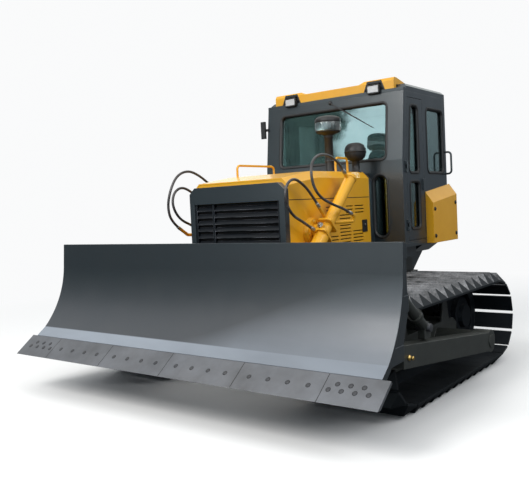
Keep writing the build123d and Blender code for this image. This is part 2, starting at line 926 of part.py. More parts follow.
# Roof: a lid with a thin lip along the front that carries the visor
lip_depth = 66
roof_front = cab_front + lean_run
with BuildPart() as cab_roof:
    with BuildSketch(side_plane(-cab_half)):
        with BuildLine():
            Polyline(
                (roof_front, roof_bottom),
                (cab_rear, roof_bottom),
                (cab_rear, roof_top),
                (roof_front + lip_depth, roof_top),
                (roof_front + lip_depth, roof_bottom + roof_lip),
                (roof_front, roof_bottom + roof_lip),
                close=True,
            )
        make_face()
    extrude(amount=2 * cab_half)
    chamfer(cab_roof.edges().group_by(Axis.Z)[-1], 32)
cab_roof.part.label = "cab_roof"
export_step(cab_roof.part, "parts/cab_roof.step")

# Visor: a cap over the windscreen that rises over two tapered lamp pockets and dips between them
visor_front = roof_front + 6
visor_brow = 34
pocket_low_width = 250
pocket_high_width = 170
pocket_height = 90
pocket_depth = 54
dip_half = 430
dip_depth = 30
with BuildPart() as roof_visor:
    with BuildSketch(side_plane(-visor_half)):
        with BuildLine():
            Polyline(
                (visor_front, visor_bottom + seat_gap),
                (roof_front + lip_depth - seat_gap, visor_bottom + seat_gap),
                (roof_front + lip_depth - seat_gap, roof_top + seat_gap),
                (visor_front + visor_depth, roof_top + seat_gap),
                (visor_front + visor_depth, roof_top + 20),
                (visor_front + visor_lid, overall_height),
                (visor_front + 20, overall_height),
                (visor_front, overall_height - visor_brow),
                close=True,
            )
        make_face()
    extrude(amount=2 * visor_half)
    with BuildSketch(front_plane(visor_front + pocket_depth)):
        for side in (-1, 1):
            with BuildLine():
                Polyline(
                    (side * lamp_x - pocket_low_width / 2, visor_bottom),
                    (side * lamp_x + pocket_low_width / 2, visor_bottom),
                    (side * lamp_x + pocket_high_width / 2, visor_bottom + pocket_height),
                    (side * lamp_x - pocket_high_width / 2, visor_bottom + pocket_height),
                    close=True,
                )
            make_face()
    extrude(amount=pocket_depth, mode=Mode.SUBTRACT)
    with BuildSketch(front_plane(visor_front + visor_depth)):
        with BuildLine():
            Polyline(
                (-dip_half, overall_height),
                (-dip_half + 60, overall_height - dip_depth),
                (dip_half - 60, overall_height - dip_depth),
                (dip_half, overall_height),
                close=True,
            )
        make_face()
    extrude(amount=visor_depth, mode=Mode.SUBTRACT)
roof_visor.part.label = "roof_visor"
export_step(roof_visor.part, "parts/roof_visor.step")

lamp_bottom = visor_bottom - 27
lamp_front = roof_front - 32
with BuildPart() as work_lamps:
    for side in (-1, 1):
        span_box(
            (side * lamp_x - lamp_width / 2, side * lamp_x + lamp_width / 2),
            (lamp_front, roof_front - seat_gap),
            (lamp_bottom, lamp_bottom + lamp_height),
        )
        span_box(
            (side * lamp_x - lamp_width / 3, side * lamp_x + lamp_width / 3),
            (roof_front - seat_gap, visor_front + pocket_depth),
            (visor_bottom + 10, lamp_bottom + lamp_height - 6),
        )
work_lamps.part.label = "work_lamps"
export_step(work_lamps.part, "parts/work_lamps.step")

# Panes stand in the middle of their walls
pane_inset = seat_gap
pane_back = (cab_wall - glass_thickness) / 2
with BuildPart() as windscreen_pane:
    with BuildSketch(side_plane(-windscreen_half)):
        with BuildLine():
            Polyline(
                (cab_front + pane_back, cab_lean_from),
                (cab_front + pane_back + glass_thickness, cab_lean_from),
                (cab_front + pane_back + glass_thickness + lean_run, wall_top),
                (cab_front + pane_back + lean_run, wall_top),
                close=True,
            )
        make_face()
    extrude(amount=2 * windscreen_half)
    with BuildSketch(front_plane(cab_front + cab_wall + lean_run)):
        with Locations((0, (windscreen_bottom + windscreen_top) / 2)):
            RectangleRounded(
                2 * (windscreen_half - pane_inset),
                windscreen_top - windscreen_bottom - 2 * pane_inset,
                corner,
            )
    extrude(amount=cab_wall + lean_run, mode=Mode.INTERSECT)

with BuildPart() as cab_glass:
    add(windscreen_pane.part)
    with BuildSketch(front_plane(cab_rear - pane_back)):
        with Locations((0, (rear_window_bottom + windscreen_top) / 2)):
            RectangleRounded(
                2 * (rear_window_half - pane_inset),
                windscreen_top - rear_window_bottom - 2 * pane_inset,
                corner,
            )
    extrude(amount=glass_thickness)
    for side in (-1, 1):
        with BuildSketch(front_plane(cab_front + pane_back + glass_thickness)):
            with Locations((side * toe_window_x, (toe_window_bottom + toe_window_top) / 2)):
                SlotOverall(
                    toe_window_top - toe_window_bottom - 2 * pane_inset,
                    toe_window_width - 2 * pane_inset,
                    rotation=90,
                )
        extrude(amount=glass_thickness)
        with BuildSketch(side_plane(side * (cab_half - cab_wall / 2) - glass_thickness / 2)):
            with Locations(((quarter_front + quarter_rear) / 2, (quarter_bottom + quarter_top) / 2)):
                RectangleRounded(
                    quarter_rear - quarter_front - 2 * pane_inset,
                    quarter_top - quarter_bottom - 2 * pane_inset,
                    corner,
                )
        extrude(amount=glass_thickness)
cab_glass.part.label = "cab_glass"
export_step(cab_glass.part, "parts/cab_glass.step")

# Doors: a frame with an upper and a lower window, hinged on its front edge
door_from = door_front + door_gap
door_to = door_rear - door_gap
door_low = door_bottom + door_gap
door_high = door_top - door_gap
door_handle = (1860, 1990)
pane_from = door_from + door_stile
pane_to = door_to - door_stile * 1.5
with BuildSketch() as upper_window:
    with BuildLine():
        Polyline(
            *leaning_panel(pane_from, pane_to, door_window_bottom, door_high - door_stile), close=True
        )
    make_face()
    fillet(upper_window.vertices(), corner)
with BuildSketch() as lower_window:
    with Locations(((pane_from + pane_to) / 2, (door_low + door_window_bottom + 30) / 2)):
        RectangleRounded(pane_to - pane_from, door_window_bottom - door_low - 210, corner)

with BuildPart() as door_left:
    with BuildSketch(side_plane(cab_half - cab_wall)):
        with BuildLine():
            Polyline(*leaning_panel(door_from, door_to, door_low, door_high), close=True)
        make_face()
        add(upper_window.sketch, mode=Mode.SUBTRACT)
        add(lower_window.sketch, mode=Mode.SUBTRACT)
    extrude(amount=cab_wall)
    for height in hinge_heights:
        with BuildSketch(Plane.XY.offset(height - knuckle / 2)):
            with Locations((hinge_x, hinge_y)):
                Circle(hinge_radius)
            with Locations((cab_half + hinge_offset / 2, hinge_y + 22)):
                Rectangle(hinge_offset, 36)
        extrude(amount=knuckle)
    span_box((cab_half, cab_half + 22), (door_to - 62, door_to - 14), door_handle)
door_left.part.label = "door_left"
export_step(door_left.part, "parts/door_left.step")
with BuildPart() as door_right:
    mirror(door_left.part, about=Plane.YZ)
door_right.part.label = "door_right"
export_step(door_right.part, "parts/door_right.step")

with BuildSketch() as door_panes:
    add(upper_window.sketch)
    add(lower_window.sketch)
    offset(amount=-pane_inset, mode=Mode.REPLACE)
with BuildPart() as door_glass_left:
    with BuildSketch(side_plane(cab_half - cab_wall / 2 - glass_thickness / 2)):
        add(door_panes.sketch)
    extrude(amount=glass_thickness)
door_glass_left.part.label = "door_glass_left"
export_step(door_glass_left.part, "parts/door_glass_left.step")
with BuildPart() as door_glass_right:
    mirror(door_glass_left.part, about=Plane.YZ)
door_glass_right.part.label = "door_glass_right"
export_step(door_glass_right.part, "parts/door_glass_right.step")

# Seat and the operator's consoles
seat_y = cab_front + 745
seat_width = 480
with BuildPart() as seat:
    span_box((-170, 170), (seat_y - 170, seat_y + 170), (floor_top, 1560))
    with BuildSketch(side_plane(-seat_width / 2)):
        with BuildLine():
            Polyline(
                (seat_y - 260, 1560),
                (seat_y + 230, 1560),
                (seat_y + 330, 2280),
                (seat_y + 210, 2290),
                (seat_y + 130, 1690),
                (seat_y - 260, 1700),
                close=True,
            )
        make_face()
    extrude(amount=seat_width)
seat.part.label = "seat"
export_step(seat.part, "parts/seat.step")

console_inner = seat_width / 2 + 30
with BuildPart() as console:
    for side in (-1, 1):
        span_box(
            (side * console_inner, side * (console_inner + 170)),
            (seat_y - 320, seat_y + 180),
            (floor_top, 1820),
        )
        with BuildSketch(Plane.XY.offset(1820)):
            with Locations((side * (console_inner + 85), seat_y - 240)):
                Circle(14)
        extrude(amount=190)
        with Locations((side * (console_inner + 85), seat_y - 240, 1820 + 200)):
            Sphere(28)
    span_box((-260, 260), (cab_front + cab_wall, cab_front + cab_wall + 170), (floor_top, 2120))
console.part.label = "console"
export_step(console.part, "parts/console.step")

# Boxes beside the cab: batteries on the left, hydraulic oil on the right; their tops rise to the rear
box_front = front + 3424
box_rear = front + 4120
box_outer = 1012
box_bottom = 1250
box_shoulder = 1710
box_top = 1840
with BuildPart() as battery_box:
    for box_end, rise in ((box_rear, 90), (box_front, 0)):
        with BuildSketch(front_plane(box_end)):
            with BuildLine():
                Polyline(
                    (cab_half + seat_gap, box_bottom),
                    (box_outer, box_bottom),
                    (box_outer, box_shoulder + rise),
                    (cab_half + seat_gap, box_top + rise),
                    close=True,
                )
            make_face()
    loft(ruled=True)
battery_box.part.label = "battery_box"
export_step(battery_box.part, "parts/battery_box.step")
with BuildPart() as hydraulic_tank:
    mirror(battery_box.part, about=Plane.YZ)
hydraulic_tank.part.label = "hydraulic_tank"
export_step(hydraulic_tank.part, "parts/hydraulic_tank.step")

# Fuel tank behind the cab, on two brackets from the frame's back end
tank_front = cab_rear + 60
tank_rear = front + 4740
tank_half = 720
tank_bottom = 1080
tank_top = 1800
with BuildPart() as fuel_tank:
    span_box((-tank_half, tank_half), (tank_front, tank_rear), (tank_bottom, tank_top))
    chamfer(fuel_tank.edges().filter_by(Axis.X).group_by(Axis.Z)[-1], 60)
    chamfer(fuel_tank.edges().filter_by(Axis.X).group_by(Axis.Z)[0].sort_by(Axis.Y)[-1], 120)
    for side in (-1, 1):
        with BuildSketch(side_plane(side * 320 - 15)):
            with BuildLine():
                Polyline(
                    (chassis_rear + seat_gap, chassis_top - 60),
                    (chassis_rear + 60, chassis_top - 60),
                    (tank_rear - 160, tank_bottom),
                    (chassis_rear + seat_gap, tank_bottom),
                    close=True,
                )
            make_face()
        extrude(amount=30)
fuel_tank.part.label = "fuel_tank"
export_step(fuel_tank.part, "parts/fuel_tank.step")

# Mirror on the cab's right front corner and grab rails at its rear corners
mirror_height = 210
mirror_low = wall_top - 350
mirror_stay = mirror_low + 90
mirror_stay_depth = 30
with BuildPart() as mirror_right:
    mirror_back = cab_front + lean_at(mirror_low) - 14
    span_box(
        (-cab_half - 70, -cab_half - 8),
        (mirror_back - 28, mirror_back),
        (mirror_low, mirror_low + mirror_height),
    )
    with BuildSketch(side_plane(-cab_half - 40)):
        with BuildLine():
            Polyline(
                (mirror_back, mirror_stay),
                (cab_front + lean_at(mirror_stay), mirror_stay),
                (cab_front + lean_at(mirror_stay + mirror_stay_depth), mirror_stay + mirror_stay_depth),
                (mirror_back, mirror_stay + mirror_stay_depth),
                close=True,
            )
        make_face()
    extrude(amount=60)
mirror_right.part.label = "mirror"
export_step(mirror_right.part, "parts/mirror.step")

grab_y = cab_rear - 40
grab_reach = 80
grab_high = 2310
grab_low = 2050
with BuildPart() as grab_rails:
    for side in (-1, 1):
        with BuildLine() as grab_route:
            FilletPolyline(
                (side * cab_half, grab_y, grab_high),
                (side * (cab_half + grab_reach), grab_y, grab_high),
                (side * (cab_half + grab_reach), grab_y, grab_low),
                (side * cab_half, grab_y, grab_low),
                radius=40,
            )
        with BuildSketch(Plane(origin=(side * cab_half, grab_y, grab_high), z_dir=(side, 0, 0))):
            Circle(rail_tube)
        sweep(path=grab_route.line)
grab_rails.part.label = "grab_rails"
export_step(grab_rails.part, "parts/grab_rails.step")

# Blade: the section is measured behind the tip and up from it
edge_run = Vector(cos(radians(edge_angle)), sin(radians(edge_angle)))
edge_back = Vector(sin(radians(edge_angle)), -cos(radians(edge_angle)))


def blade_at(depth, height):
    """A point of the blade's section on the side plane."""
    return (front + depth, blade_tip_z + height)


def edge_at(along, behind):
    """A point along the cutting edge's slope and behind its face."""
    spot = edge_run * along + edge_back * behind
    return blade_at(spot.X, spot.Y)


strip_low = edge_length + edge_gap
strip_high = strip_low + wear_strip
centre_depth = edge_run.X * strip_high - curve_radius * cos(radians(curve_start))
centre_height = edge_run.Y * strip_high - curve_radius * sin(radians(curve_start))


def curve_at(angle, radius):
    return blade_at(
        centre_depth + radius * cos(radians(angle)), centre_height + radius * sin(radians(angle))
    )


back_radius = curve_radius + moldboard_sheet
curve_top = centre_height + curve_radius * sin(radians(curve_end))
top_shift = (blade_height - curve_top) * tan(radians(-curve_end))
top_front = blade_at(centre_depth + curve_radius * cos(radians(curve_end)) + top_shift, blade_height)
top_back = blade_at(centre_depth + back_radius * cos(radians(curve_end)) + top_shift, blade_height)
edge_backing = 30
lip_low = 70

with BuildPart() as moldboard:
    with BuildSketch(side_plane(-moldboard_width / 2)):
        with BuildLine():
            centre = (*blade_at(centre_depth, centre_height), 0)
            front_arc = CenterArc(centre, curve_radius, curve_start, curve_end - curve_start)
            back_arc = CenterArc(centre, back_radius, curve_start, curve_end - curve_start)
            Line(front_arc @ 0, back_arc @ 0)
            Polyline(front_arc @ 1, top_front, top_back, back_arc @ 1)
        make_face()
        with BuildLine():
            Polyline(
                edge_at(lip_low, edge_thickness + seat_gap),
                edge_at(strip_low, edge_thickness + seat_gap),
                edge_at(strip_low, 0),
                edge_at(strip_high, 0),
                curve_at(curve_start + 4, back_radius),
                edge_at(strip_high, edge_thickness + edge_backing),
                edge_at(lip_low, edge_thickness + edge_backing),
                close=True,
            )
        make_face()
        # beams along the back: lower, middle and top
        for outline in (
            ((300, 205), (560, 215), (560, 330), (405, 330)),
            ((532, 560), (beam_depth, 560), (beam_depth, 680), (570, 680)),
            ((605, 950), (beam_depth, 950), (beam_depth, 1065), (612, 1065)),
        ):
            with BuildLine():
                Polyline(*[blade_at(*point) for point in outline], close=True)
            make_face()
    extrude(amount=moldboard_width)
    for place in rib_places:
        for side in (-1, 1) if place else (1,):
            with BuildSketch(side_plane(side * place - rib_thickness / 2)):
                with BuildLine():
                    rib_arc = CenterArc(
                        (*blade_at(centre_depth, centre_height), 0),
                        curve_radius + moldboard_sheet / 2,
                        curve_start + 4,
                        curve_end - curve_start - 4,
                    )
                    Polyline(
                        rib_arc @ 1,
                        blade_at(612, 1060),
                        blade_at(beam_depth - 10, 1060),
                        blade_at(beam_depth - 10, 560),
                        blade_at(560, 330),
                        blade_at(560, 215),
                        rib_arc @ 0,
                    )
                make_face()
            extrude(amount=rib_thickness)
    for side in (-1, 1):
        for offset in (-ear_gap / 2 - ear_thickness, ear_gap / 2):
            with BuildSketch(side_plane(side * cylinder_x + offset)):
                with Locations(lift_eye):
                    Circle(eye_radius)
                with Locations(blade_at((beam_depth + 560) / 2, 565)):
                    Rectangle(beam_depth - 560, 230)
                make_hull()
            extrude(amount=ear_thickness)
moldboard.part.label = "moldboard"
export_step(moldboard.part, "parts/moldboard.step")

# Cutting edges: equal plates along the middle and an end bit on each side
edge_total = blade_width + edge_gap
edge_span = edge_total - 2 * end_bit_width
edge_width = edge_span / edge_count
edge_section = (
    edge_at(0, 0),
    (front + edge_thickness / sin(radians(edge_angle)), blade_tip_z),
    edge_at(edge_length, edge_thickness),
    edge_at(edge_length, 0),
)
edge_table = [(-edge_span / 2 + step * edge_width, edge_width) for step in range(edge_count)]
edge_table += [(-edge_total / 2, end_bit_width), (edge_span / 2, end_bit_width)]
corner_align = {1: (Align.MIN, Align.MIN), -1: (Align.MIN, Align.MAX)}
with BuildPart() as cutting_edges:
    for x_from, width in edge_table:
        with BuildSketch(side_plane(x_from + edge_gap / 2)):
            with BuildLine():
                Polyline(*edge_section, close=True)
            make_face()
        extrude(amount=width - edge_gap)
    # the end bits' outer lower corners are rounded
    for side in (-1, 1):
        slope_plane = Plane(
            origin=(side * blade_width / 2, *edge_at(0, edge_thickness * 2)),
            x_dir=(-side, 0, 0),
            z_dir=(0, -edge_back.X, -edge_back.Y),
        )
        with BuildSketch(slope_plane):
            Rectangle(edge_corner, edge_corner, align=corner_align[side])
            with Locations((edge_corner, edge_corner * side)):
                Circle(edge_corner, mode=Mode.SUBTRACT)
        extrude(amount=edge_thickness * 3, mode=Mode.SUBTRACT)
cutting_edges.part.label = "cutting_edges"
export_step(cutting_edges.part, "parts/cutting_edges.step")

# Push arms: from the lower beam back to the trunnions outside the tracks
arm_front = front + 560 + seat_gap
arm_front_z = 617
arm_rear = trunnion_y - 60
with BuildPart() as push_arms:
    with BuildSketch(side_plane(arm_outer_x - arm_width)):
        with BuildLine():
            Polyline(
                (arm_front, arm_front_z - arm_height / 2),
                (arm_rear, trunnion_z - arm_height / 2),
                (arm_rear, trunnion_z + arm_height / 2),
                (arm_front, arm_front_z + arm_height / 2),
                close=True,
            )
        make_face()
        with Locations((trunnion_y, trunnion_z)):
            Circle(arm_boss)
            Circle(trunnion_radius + pin_clearance, mode=Mode.SUBTRACT)
    extrude(amount=arm_width)
    mirror(about=Plane.YZ)
push_arms.part.label = "push_arms"
export_step(push_arms.part, "parts/push_arms.step")

# Braces: from the blade's middle beam down to a lug on each arm
brace_top = blade_at(beam_depth + 62, 640)
brace_foot = (front + 1080, 745)
foot_slope = (arm_front_z - trunnion_z) / (arm_rear - arm_front)
arm_top_at_foot = arm_front_z + arm_height / 2 - (brace_foot[0] - arm_front) * foot_slope
with BuildPart() as blade_braces:
    run = Vector(0, brace_foot[0] - brace_top[0], brace_foot[1] - brace_top[1])
    with BuildSketch(Plane(origin=(brace_x, *brace_top), x_dir=(1, 0, 0), z_dir=run.normalized())):
        Circle(brace_radius)
    extrude(amount=run.length)
    with BuildSketch(
        Plane(origin=(brace_x, *brace_top), x_dir=(1, 0, 0), z_dir=run.normalized()).offset(run.length * 0.55)
    ):
        Circle(brace_radius + 14)
    extrude(amount=40)
    with BuildSketch(side_plane(brace_x - 30)):
        with Locations(brace_top):
            Circle(52)
        with Locations((front + beam_depth + seat_gap + 6, brace_top[1])):
            Rectangle(12, 104)
        make_hull()
    extrude(amount=60)
    with BuildSketch(side_plane(brace_x - 30)):
        with Locations(brace_foot):
            Circle(48)
        with Locations((brace_foot[0], arm_top_at_foot + 24)):
            Rectangle(110, 12)
        make_hull()
    extrude(amount=60)
    mirror(about=Plane.YZ)
blade_braces.part.label = "blade_braces"
export_step(blade_braces.part, "parts/blade_braces.step")

# Lift cylinders: barrel on a hub that turns on a pin from the engine side, rod to the blade's ears
lift_run = Vector(0, lift_eye[0] - lift_pivot[0], lift_eye[1] - lift_pivot[1])
lift_length = lift_run.length
lift_way = lift_run.normalized()


def along_lift(distance):
    """A plane across the cylinder's axis, a distance from its pivot towards the blade."""
    start = Vector(cylinder_x, *lift_pivot)
    return Plane(origin=start + lift_way * distance, x_dir=(1, 0, 0), z_dir=lift_way)


bracket_face = hood_half + boss_depth
hub_inner = bracket_face + 3
pin_end = hub_inner + 20
with BuildPart() as cylinder_brackets:
    with BuildSketch(side_plane(hood_half + seat_gap)):
        with Locations(lift_pivot):
            Circle(boss_radius)
    extrude(amount=boss_depth - seat_gap, taper=10)
    with BuildSketch(side_plane(bracket_face)):
        with Locations(lift_pivot):
            Circle(yoke_pin_radius)
    extrude(amount=pin_end - bracket_face)
    mirror(about=Plane.YZ)
cylinder_brackets.part.label = "cylinder_brackets"
export_step(cylinder_brackets.part, "parts/cylinder_brackets.step")

lift_normal = Vector(0, lift_way.Z, -lift_way.Y)


def off_lift(x, distance, across):
    """A point beside the cylinder: a distance towards the blade and so far up and forward of its axis."""
    spot = Vector(x, *lift_pivot) + lift_way * distance + lift_normal * across
    return (spot.X, spot.Y, spot.Z)


def bend_radii(route):
    """The largest bends that a hose's corners hold: 0.45 of the shorter run over the half turn's tangent."""
    corners = [Vector(*point) for point in route]
    radii = []
    for before, at, after in zip(corners, corners[1:], corners[2:]):
        first, second = at - before, after - at
        half_turn = radians(first.get_angle(second)) / 2
        radii.append(0.45 * min(first.length, second.length) / tan(half_turn))
    return radii


# Steel pipes lead the oil from the barrel to the hoses; the two sides differ in how the outer hose hangs
pipe_radius = 17
yoke_hose_x = 700
cap_stub = -690
yoke_stub = -149.5
yoke_pipes = (
    (off_lift(yoke_hose_x, yoke_stub, 20), off_lift(yoke_hose_x, yoke_stub, 176)),
    ((yoke_hose_x, front + 1528.8, 1468.8), (yoke_hose_x, front + 1420, 1520)),
)
left_pipes = (
    *yoke_pipes,
    (off_lift(cylinder_x, cap_stub, 0), off_lift(cylinder_x, cap_stub, 105)),
    (
        (760, front + 1690, 1575),
        (850, front + 1900, 1575),
        (863.3, front + 1887.6, 1633),
        (865, front + 1840, 1650),
    ),
)
right_pipes = (
    *yoke_pipes,
    ((cylinder_x, front + 2038.6, 1972), (cylinder_x, front + 1915, 1972)),
    ((755, front + 1520, 1485), (816, front + 1296.4, 1502.4), (800, front + 1178, 1568)),
)
pipe_bend = 20
yoke_plates = (-95, 38)
yoke_plate_thickness = 22
sleeve_from = 60
cap_collar = 30
with BuildPart() as barrel_body:
    with BuildSketch(along_lift(-barrel_behind)):
        Circle(barrel_radius)
    extrude(amount=barrel_behind + barrel_ahead)
    with BuildSketch(along_lift(sleeve_from)):
        Circle(sleeve_radius)
    extrude(amount=barrel_ahead - sleeve_from)
    with BuildSketch(along_lift(-barrel_behind)):
        Circle(barrel_radius + 6)
    extrude(amount=cap_collar)
    for distance in yoke_plates:
        with BuildSketch(along_lift(distance)):
            RectangleRounded(2 * yoke_hub_radius, 2.4 * yoke_hub_radius, 30)
        extrude(amount=yoke_plate_thickness)
    with BuildSketch(side_plane(hub_inner)):
        with Locations(lift_pivot):
            Circle(yoke_hub_radius)
    extrude(amount=cylinder_x - hub_inner)
    with BuildSketch(side_plane(hub_inner)):
        with Locations(lift_pivot):
            Circle(yoke_pin_radius + pin_clearance)
    extrude(amount=pin_end + 3 - hub_inner, mode=Mode.SUBTRACT)

barrels = []
for pipes in (left_pipes, right_pipes):
    with BuildPart() as barrel:
        add(barrel_body.part)
        for route in pipes:
            with BuildLine() as pipe_run:
                if len(route) == 2:
                    Line(*route)
                else:
                    FilletPolyline(*route, radius=pipe_bend)
            with BuildSketch(Plane(origin=route[0], z_dir=Vector(*route[1]) - Vector(*route[0]))):
                Circle(pipe_radius)
            sweep(path=pipe_run.line)
        with BuildSketch(along_lift(barrel_end_cap - barrel_behind)):
            Circle(bore_radius)
        extrude(
            amount=barrel_behind + barrel_ahead - barrel_end_cap - gland_length, mode=Mode.SUBTRACT
        )
        with BuildSketch(along_lift(barrel_ahead - gland_length)):
            Circle(rod_radius + pin_clearance)
        extrude(amount=gland_length, mode=Mode.SUBTRACT)
    barrels.append(barrel.part)
lift_barrel_left, right_barrel = barrels
lift_barrel_left.label = "lift_barrel_left"
export_step(lift_barrel_left, "parts/lift_barrel_left.step")
with BuildPart() as lift_barrel_right:
    mirror(right_barrel, about=Plane.YZ)
lift_barrel_right.part.label = "lift_barrel_right"
export_step(lift_barrel_right.part, "parts/lift_barrel_right.step")

# Hoses: one from the cap end round to the yoke, and one in a short loop between the yoke's two ports
hose_radius = 13
yoke_hose = (
    off_lift(yoke_hose_x, yoke_stub, 176),
    off_lift(yoke_hose_x, yoke_stub, 320),
    (yoke_hose_x, front + 1290, 1938),
    (yoke_hose_x, front + 1130, 2005),
    (yoke_hose_x, front + 1009, 1946),
    (yoke_hose_x, front + 976, 1815),
    (yoke_hose_x, front + 1070, 1672),
    (yoke_hose_x, front + 1250, 1600),
    (yoke_hose_x, front + 1420, 1520),
)
cap_hose_left = (
    off_lift(cylinder_x, cap_stub, 105),
    off_lift(cylinder_x, cap_stub, 240),
    (745, front + 1660, 2225),
    (760, front + 1440, 2215),
    (780, front + 1300, 2130),
    (800, front + 1265, 1970),
    (825, front + 1330, 1830),
    (860, front + 1500, 1750),
    (870, front + 1700, 1700),
    (865, front + 1840, 1650),
)
cap_hose_right = (
    (cylinder_x, front + 1915, 1972),
    (cylinder_x, front + 1760, 1972),
    (740, front + 1600, 2025),
    (740, front + 1450, 2118),
    (740, front + 1280, 2175),
    (740, front + 1110, 2125),
    (745, front + 1010, 1980),
    (760, front + 970, 1810),
    (780, front + 1030, 1650),
    (800, front + 1178, 1568),
)
hose_table = (
    # node, side, route
    ("hose_cap_left", 1, cap_hose_left),
    ("hose_yoke_left", 1, yoke_hose),
    ("hose_cap_right", -1, cap_hose_right),
    ("hose_yoke_right", -1, yoke_hose),
)
for node, side, points in hose_table:
    route = [(side * x, y, z) for x, y, z in points]
    radii = bend_radii(route)
    with BuildPart() as hose:
        with BuildLine() as hose_run:
            FilletPolyline(*route, radius=radii)
        with BuildSketch(Plane(origin=route[0], z_dir=Vector(*route[1]) - Vector(*route[0]))):
            Circle(hose_radius)
        sweep(path=hose_run.line)
    hose.part.label = node
    export_step(hose.part, f"parts/{node}.step")
    run_length = hose_run.wires()[0].length
    print(node, "length", round(run_length), "tightest bend", round(min(radii)))
    print("volume over section x length", round(hose.part.volume / (pi * hose_radius**2 * run_length), 4))

with BuildPart() as lift_rod_left:
    with BuildSketch(along_lift(lift_length - rod_length)):
        Circle(rod_radius)
    extrude(amount=rod_length)
    with BuildSketch(along_lift(lift_length - rod_length)):
        Circle(bore_radius - pin_clearance)
    extrude(amount=piston_length)
    with BuildSketch(side_plane(cylinder_x - eye_width / 2)):
        with Locations(lift_eye):
            Circle(eye_radius)
    extrude(amount=eye_width)
lift_rod_left.part.label = "lift_rod_left"
export_step(lift_rod_left.part, "parts/lift_rod_left.step")
with BuildPart() as lift_rod_right:
    mirror(lift_rod_left.part, about=Plane.YZ)
lift_rod_right.part.label = "lift_rod_right"
export_step(lift_rod_right.part, "parts/lift_rod_right.step")
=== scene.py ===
import math
import bpy
import numpy as np
from mathutils import Matrix, Vector


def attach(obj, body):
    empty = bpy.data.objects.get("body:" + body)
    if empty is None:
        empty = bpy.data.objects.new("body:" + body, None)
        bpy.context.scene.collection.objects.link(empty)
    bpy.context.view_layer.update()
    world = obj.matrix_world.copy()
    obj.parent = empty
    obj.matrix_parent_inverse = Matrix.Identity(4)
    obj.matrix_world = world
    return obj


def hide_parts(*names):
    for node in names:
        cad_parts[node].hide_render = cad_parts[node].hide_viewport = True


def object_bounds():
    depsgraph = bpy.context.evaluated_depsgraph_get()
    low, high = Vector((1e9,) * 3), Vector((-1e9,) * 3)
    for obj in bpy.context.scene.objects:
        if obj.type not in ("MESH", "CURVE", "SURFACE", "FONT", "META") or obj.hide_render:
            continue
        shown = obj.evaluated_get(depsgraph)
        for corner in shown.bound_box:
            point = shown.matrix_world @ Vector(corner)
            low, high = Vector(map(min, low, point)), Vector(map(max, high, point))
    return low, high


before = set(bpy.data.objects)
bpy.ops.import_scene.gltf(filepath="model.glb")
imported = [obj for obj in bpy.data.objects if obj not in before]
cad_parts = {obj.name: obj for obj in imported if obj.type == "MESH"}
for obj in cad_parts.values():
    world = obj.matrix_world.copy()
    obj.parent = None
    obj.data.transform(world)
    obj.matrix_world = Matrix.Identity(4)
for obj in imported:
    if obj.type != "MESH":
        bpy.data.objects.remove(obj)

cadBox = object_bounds()
scene = bpy.context.scene
scene.view_settings.view_transform = "Standard"
print("frame loaded")

# all places are in metres; the blade looks along -Y and the machine's left side is +X

cameraSettings = {
    "focalPixels": 678.0,
    "azimuth": 37.45,          # degrees, how far the camera stands round to the machine's left
    "pitch": -2.9,
    "roll": -2.8,
    "place": (4.21, -6.32, 1.757),
    "imageSize": (529, 484),
    "viewCentre": (268.5, 241.0),
    "sensor": 36.0,
    "farEnd": 200.0,
}


def placeCamera(settings):
    # forward d = (-sin a, cos a, 0) cos p + z sin p; right and up are turned about d by the roll
    a, p, rho = (math.radians(settings[k]) for k in ("azimuth", "pitch", "roll"))
    flat = np.array([-math.sin(a), math.cos(a), 0.0])
    side = np.array([math.cos(a), math.sin(a), 0.0])
    up = np.array([0.0, 0.0, 1.0])
    forward = flat * math.cos(p) + up * math.sin(p)
    tall = up * math.cos(p) - flat * math.sin(p)
    right = side * math.cos(rho) + tall * math.sin(rho)
    top = tall * math.cos(rho) - side * math.sin(rho)
    turn = np.eye(4)
    turn[:3, 0], turn[:3, 1], turn[:3, 2], turn[:3, 3] = right, top, -forward, settings["place"]
    data = bpy.data.cameras.new("photoCamera")
    camera = bpy.data.objects.new("photoCamera", data)
    scene.collection.objects.link(camera)
    wide, high = settings["imageSize"]
    data.sensor_width = settings["sensor"]
    data.sensor_fit = "HORIZONTAL"
    data.lens = settings["sensor"] * settings["focalPixels"] / wide
    data.shift_x = (wide / 2 - settings["viewCentre"][0]) / wide
    data.shift_y = (settings["viewCentre"][1] - high / 2) / wide
    data.clip_end = settings["farEnd"]
    camera.matrix_world = Matrix(turn.tolist())
    scene.camera = camera


placeCamera(cameraSettings)
print("camera placed")

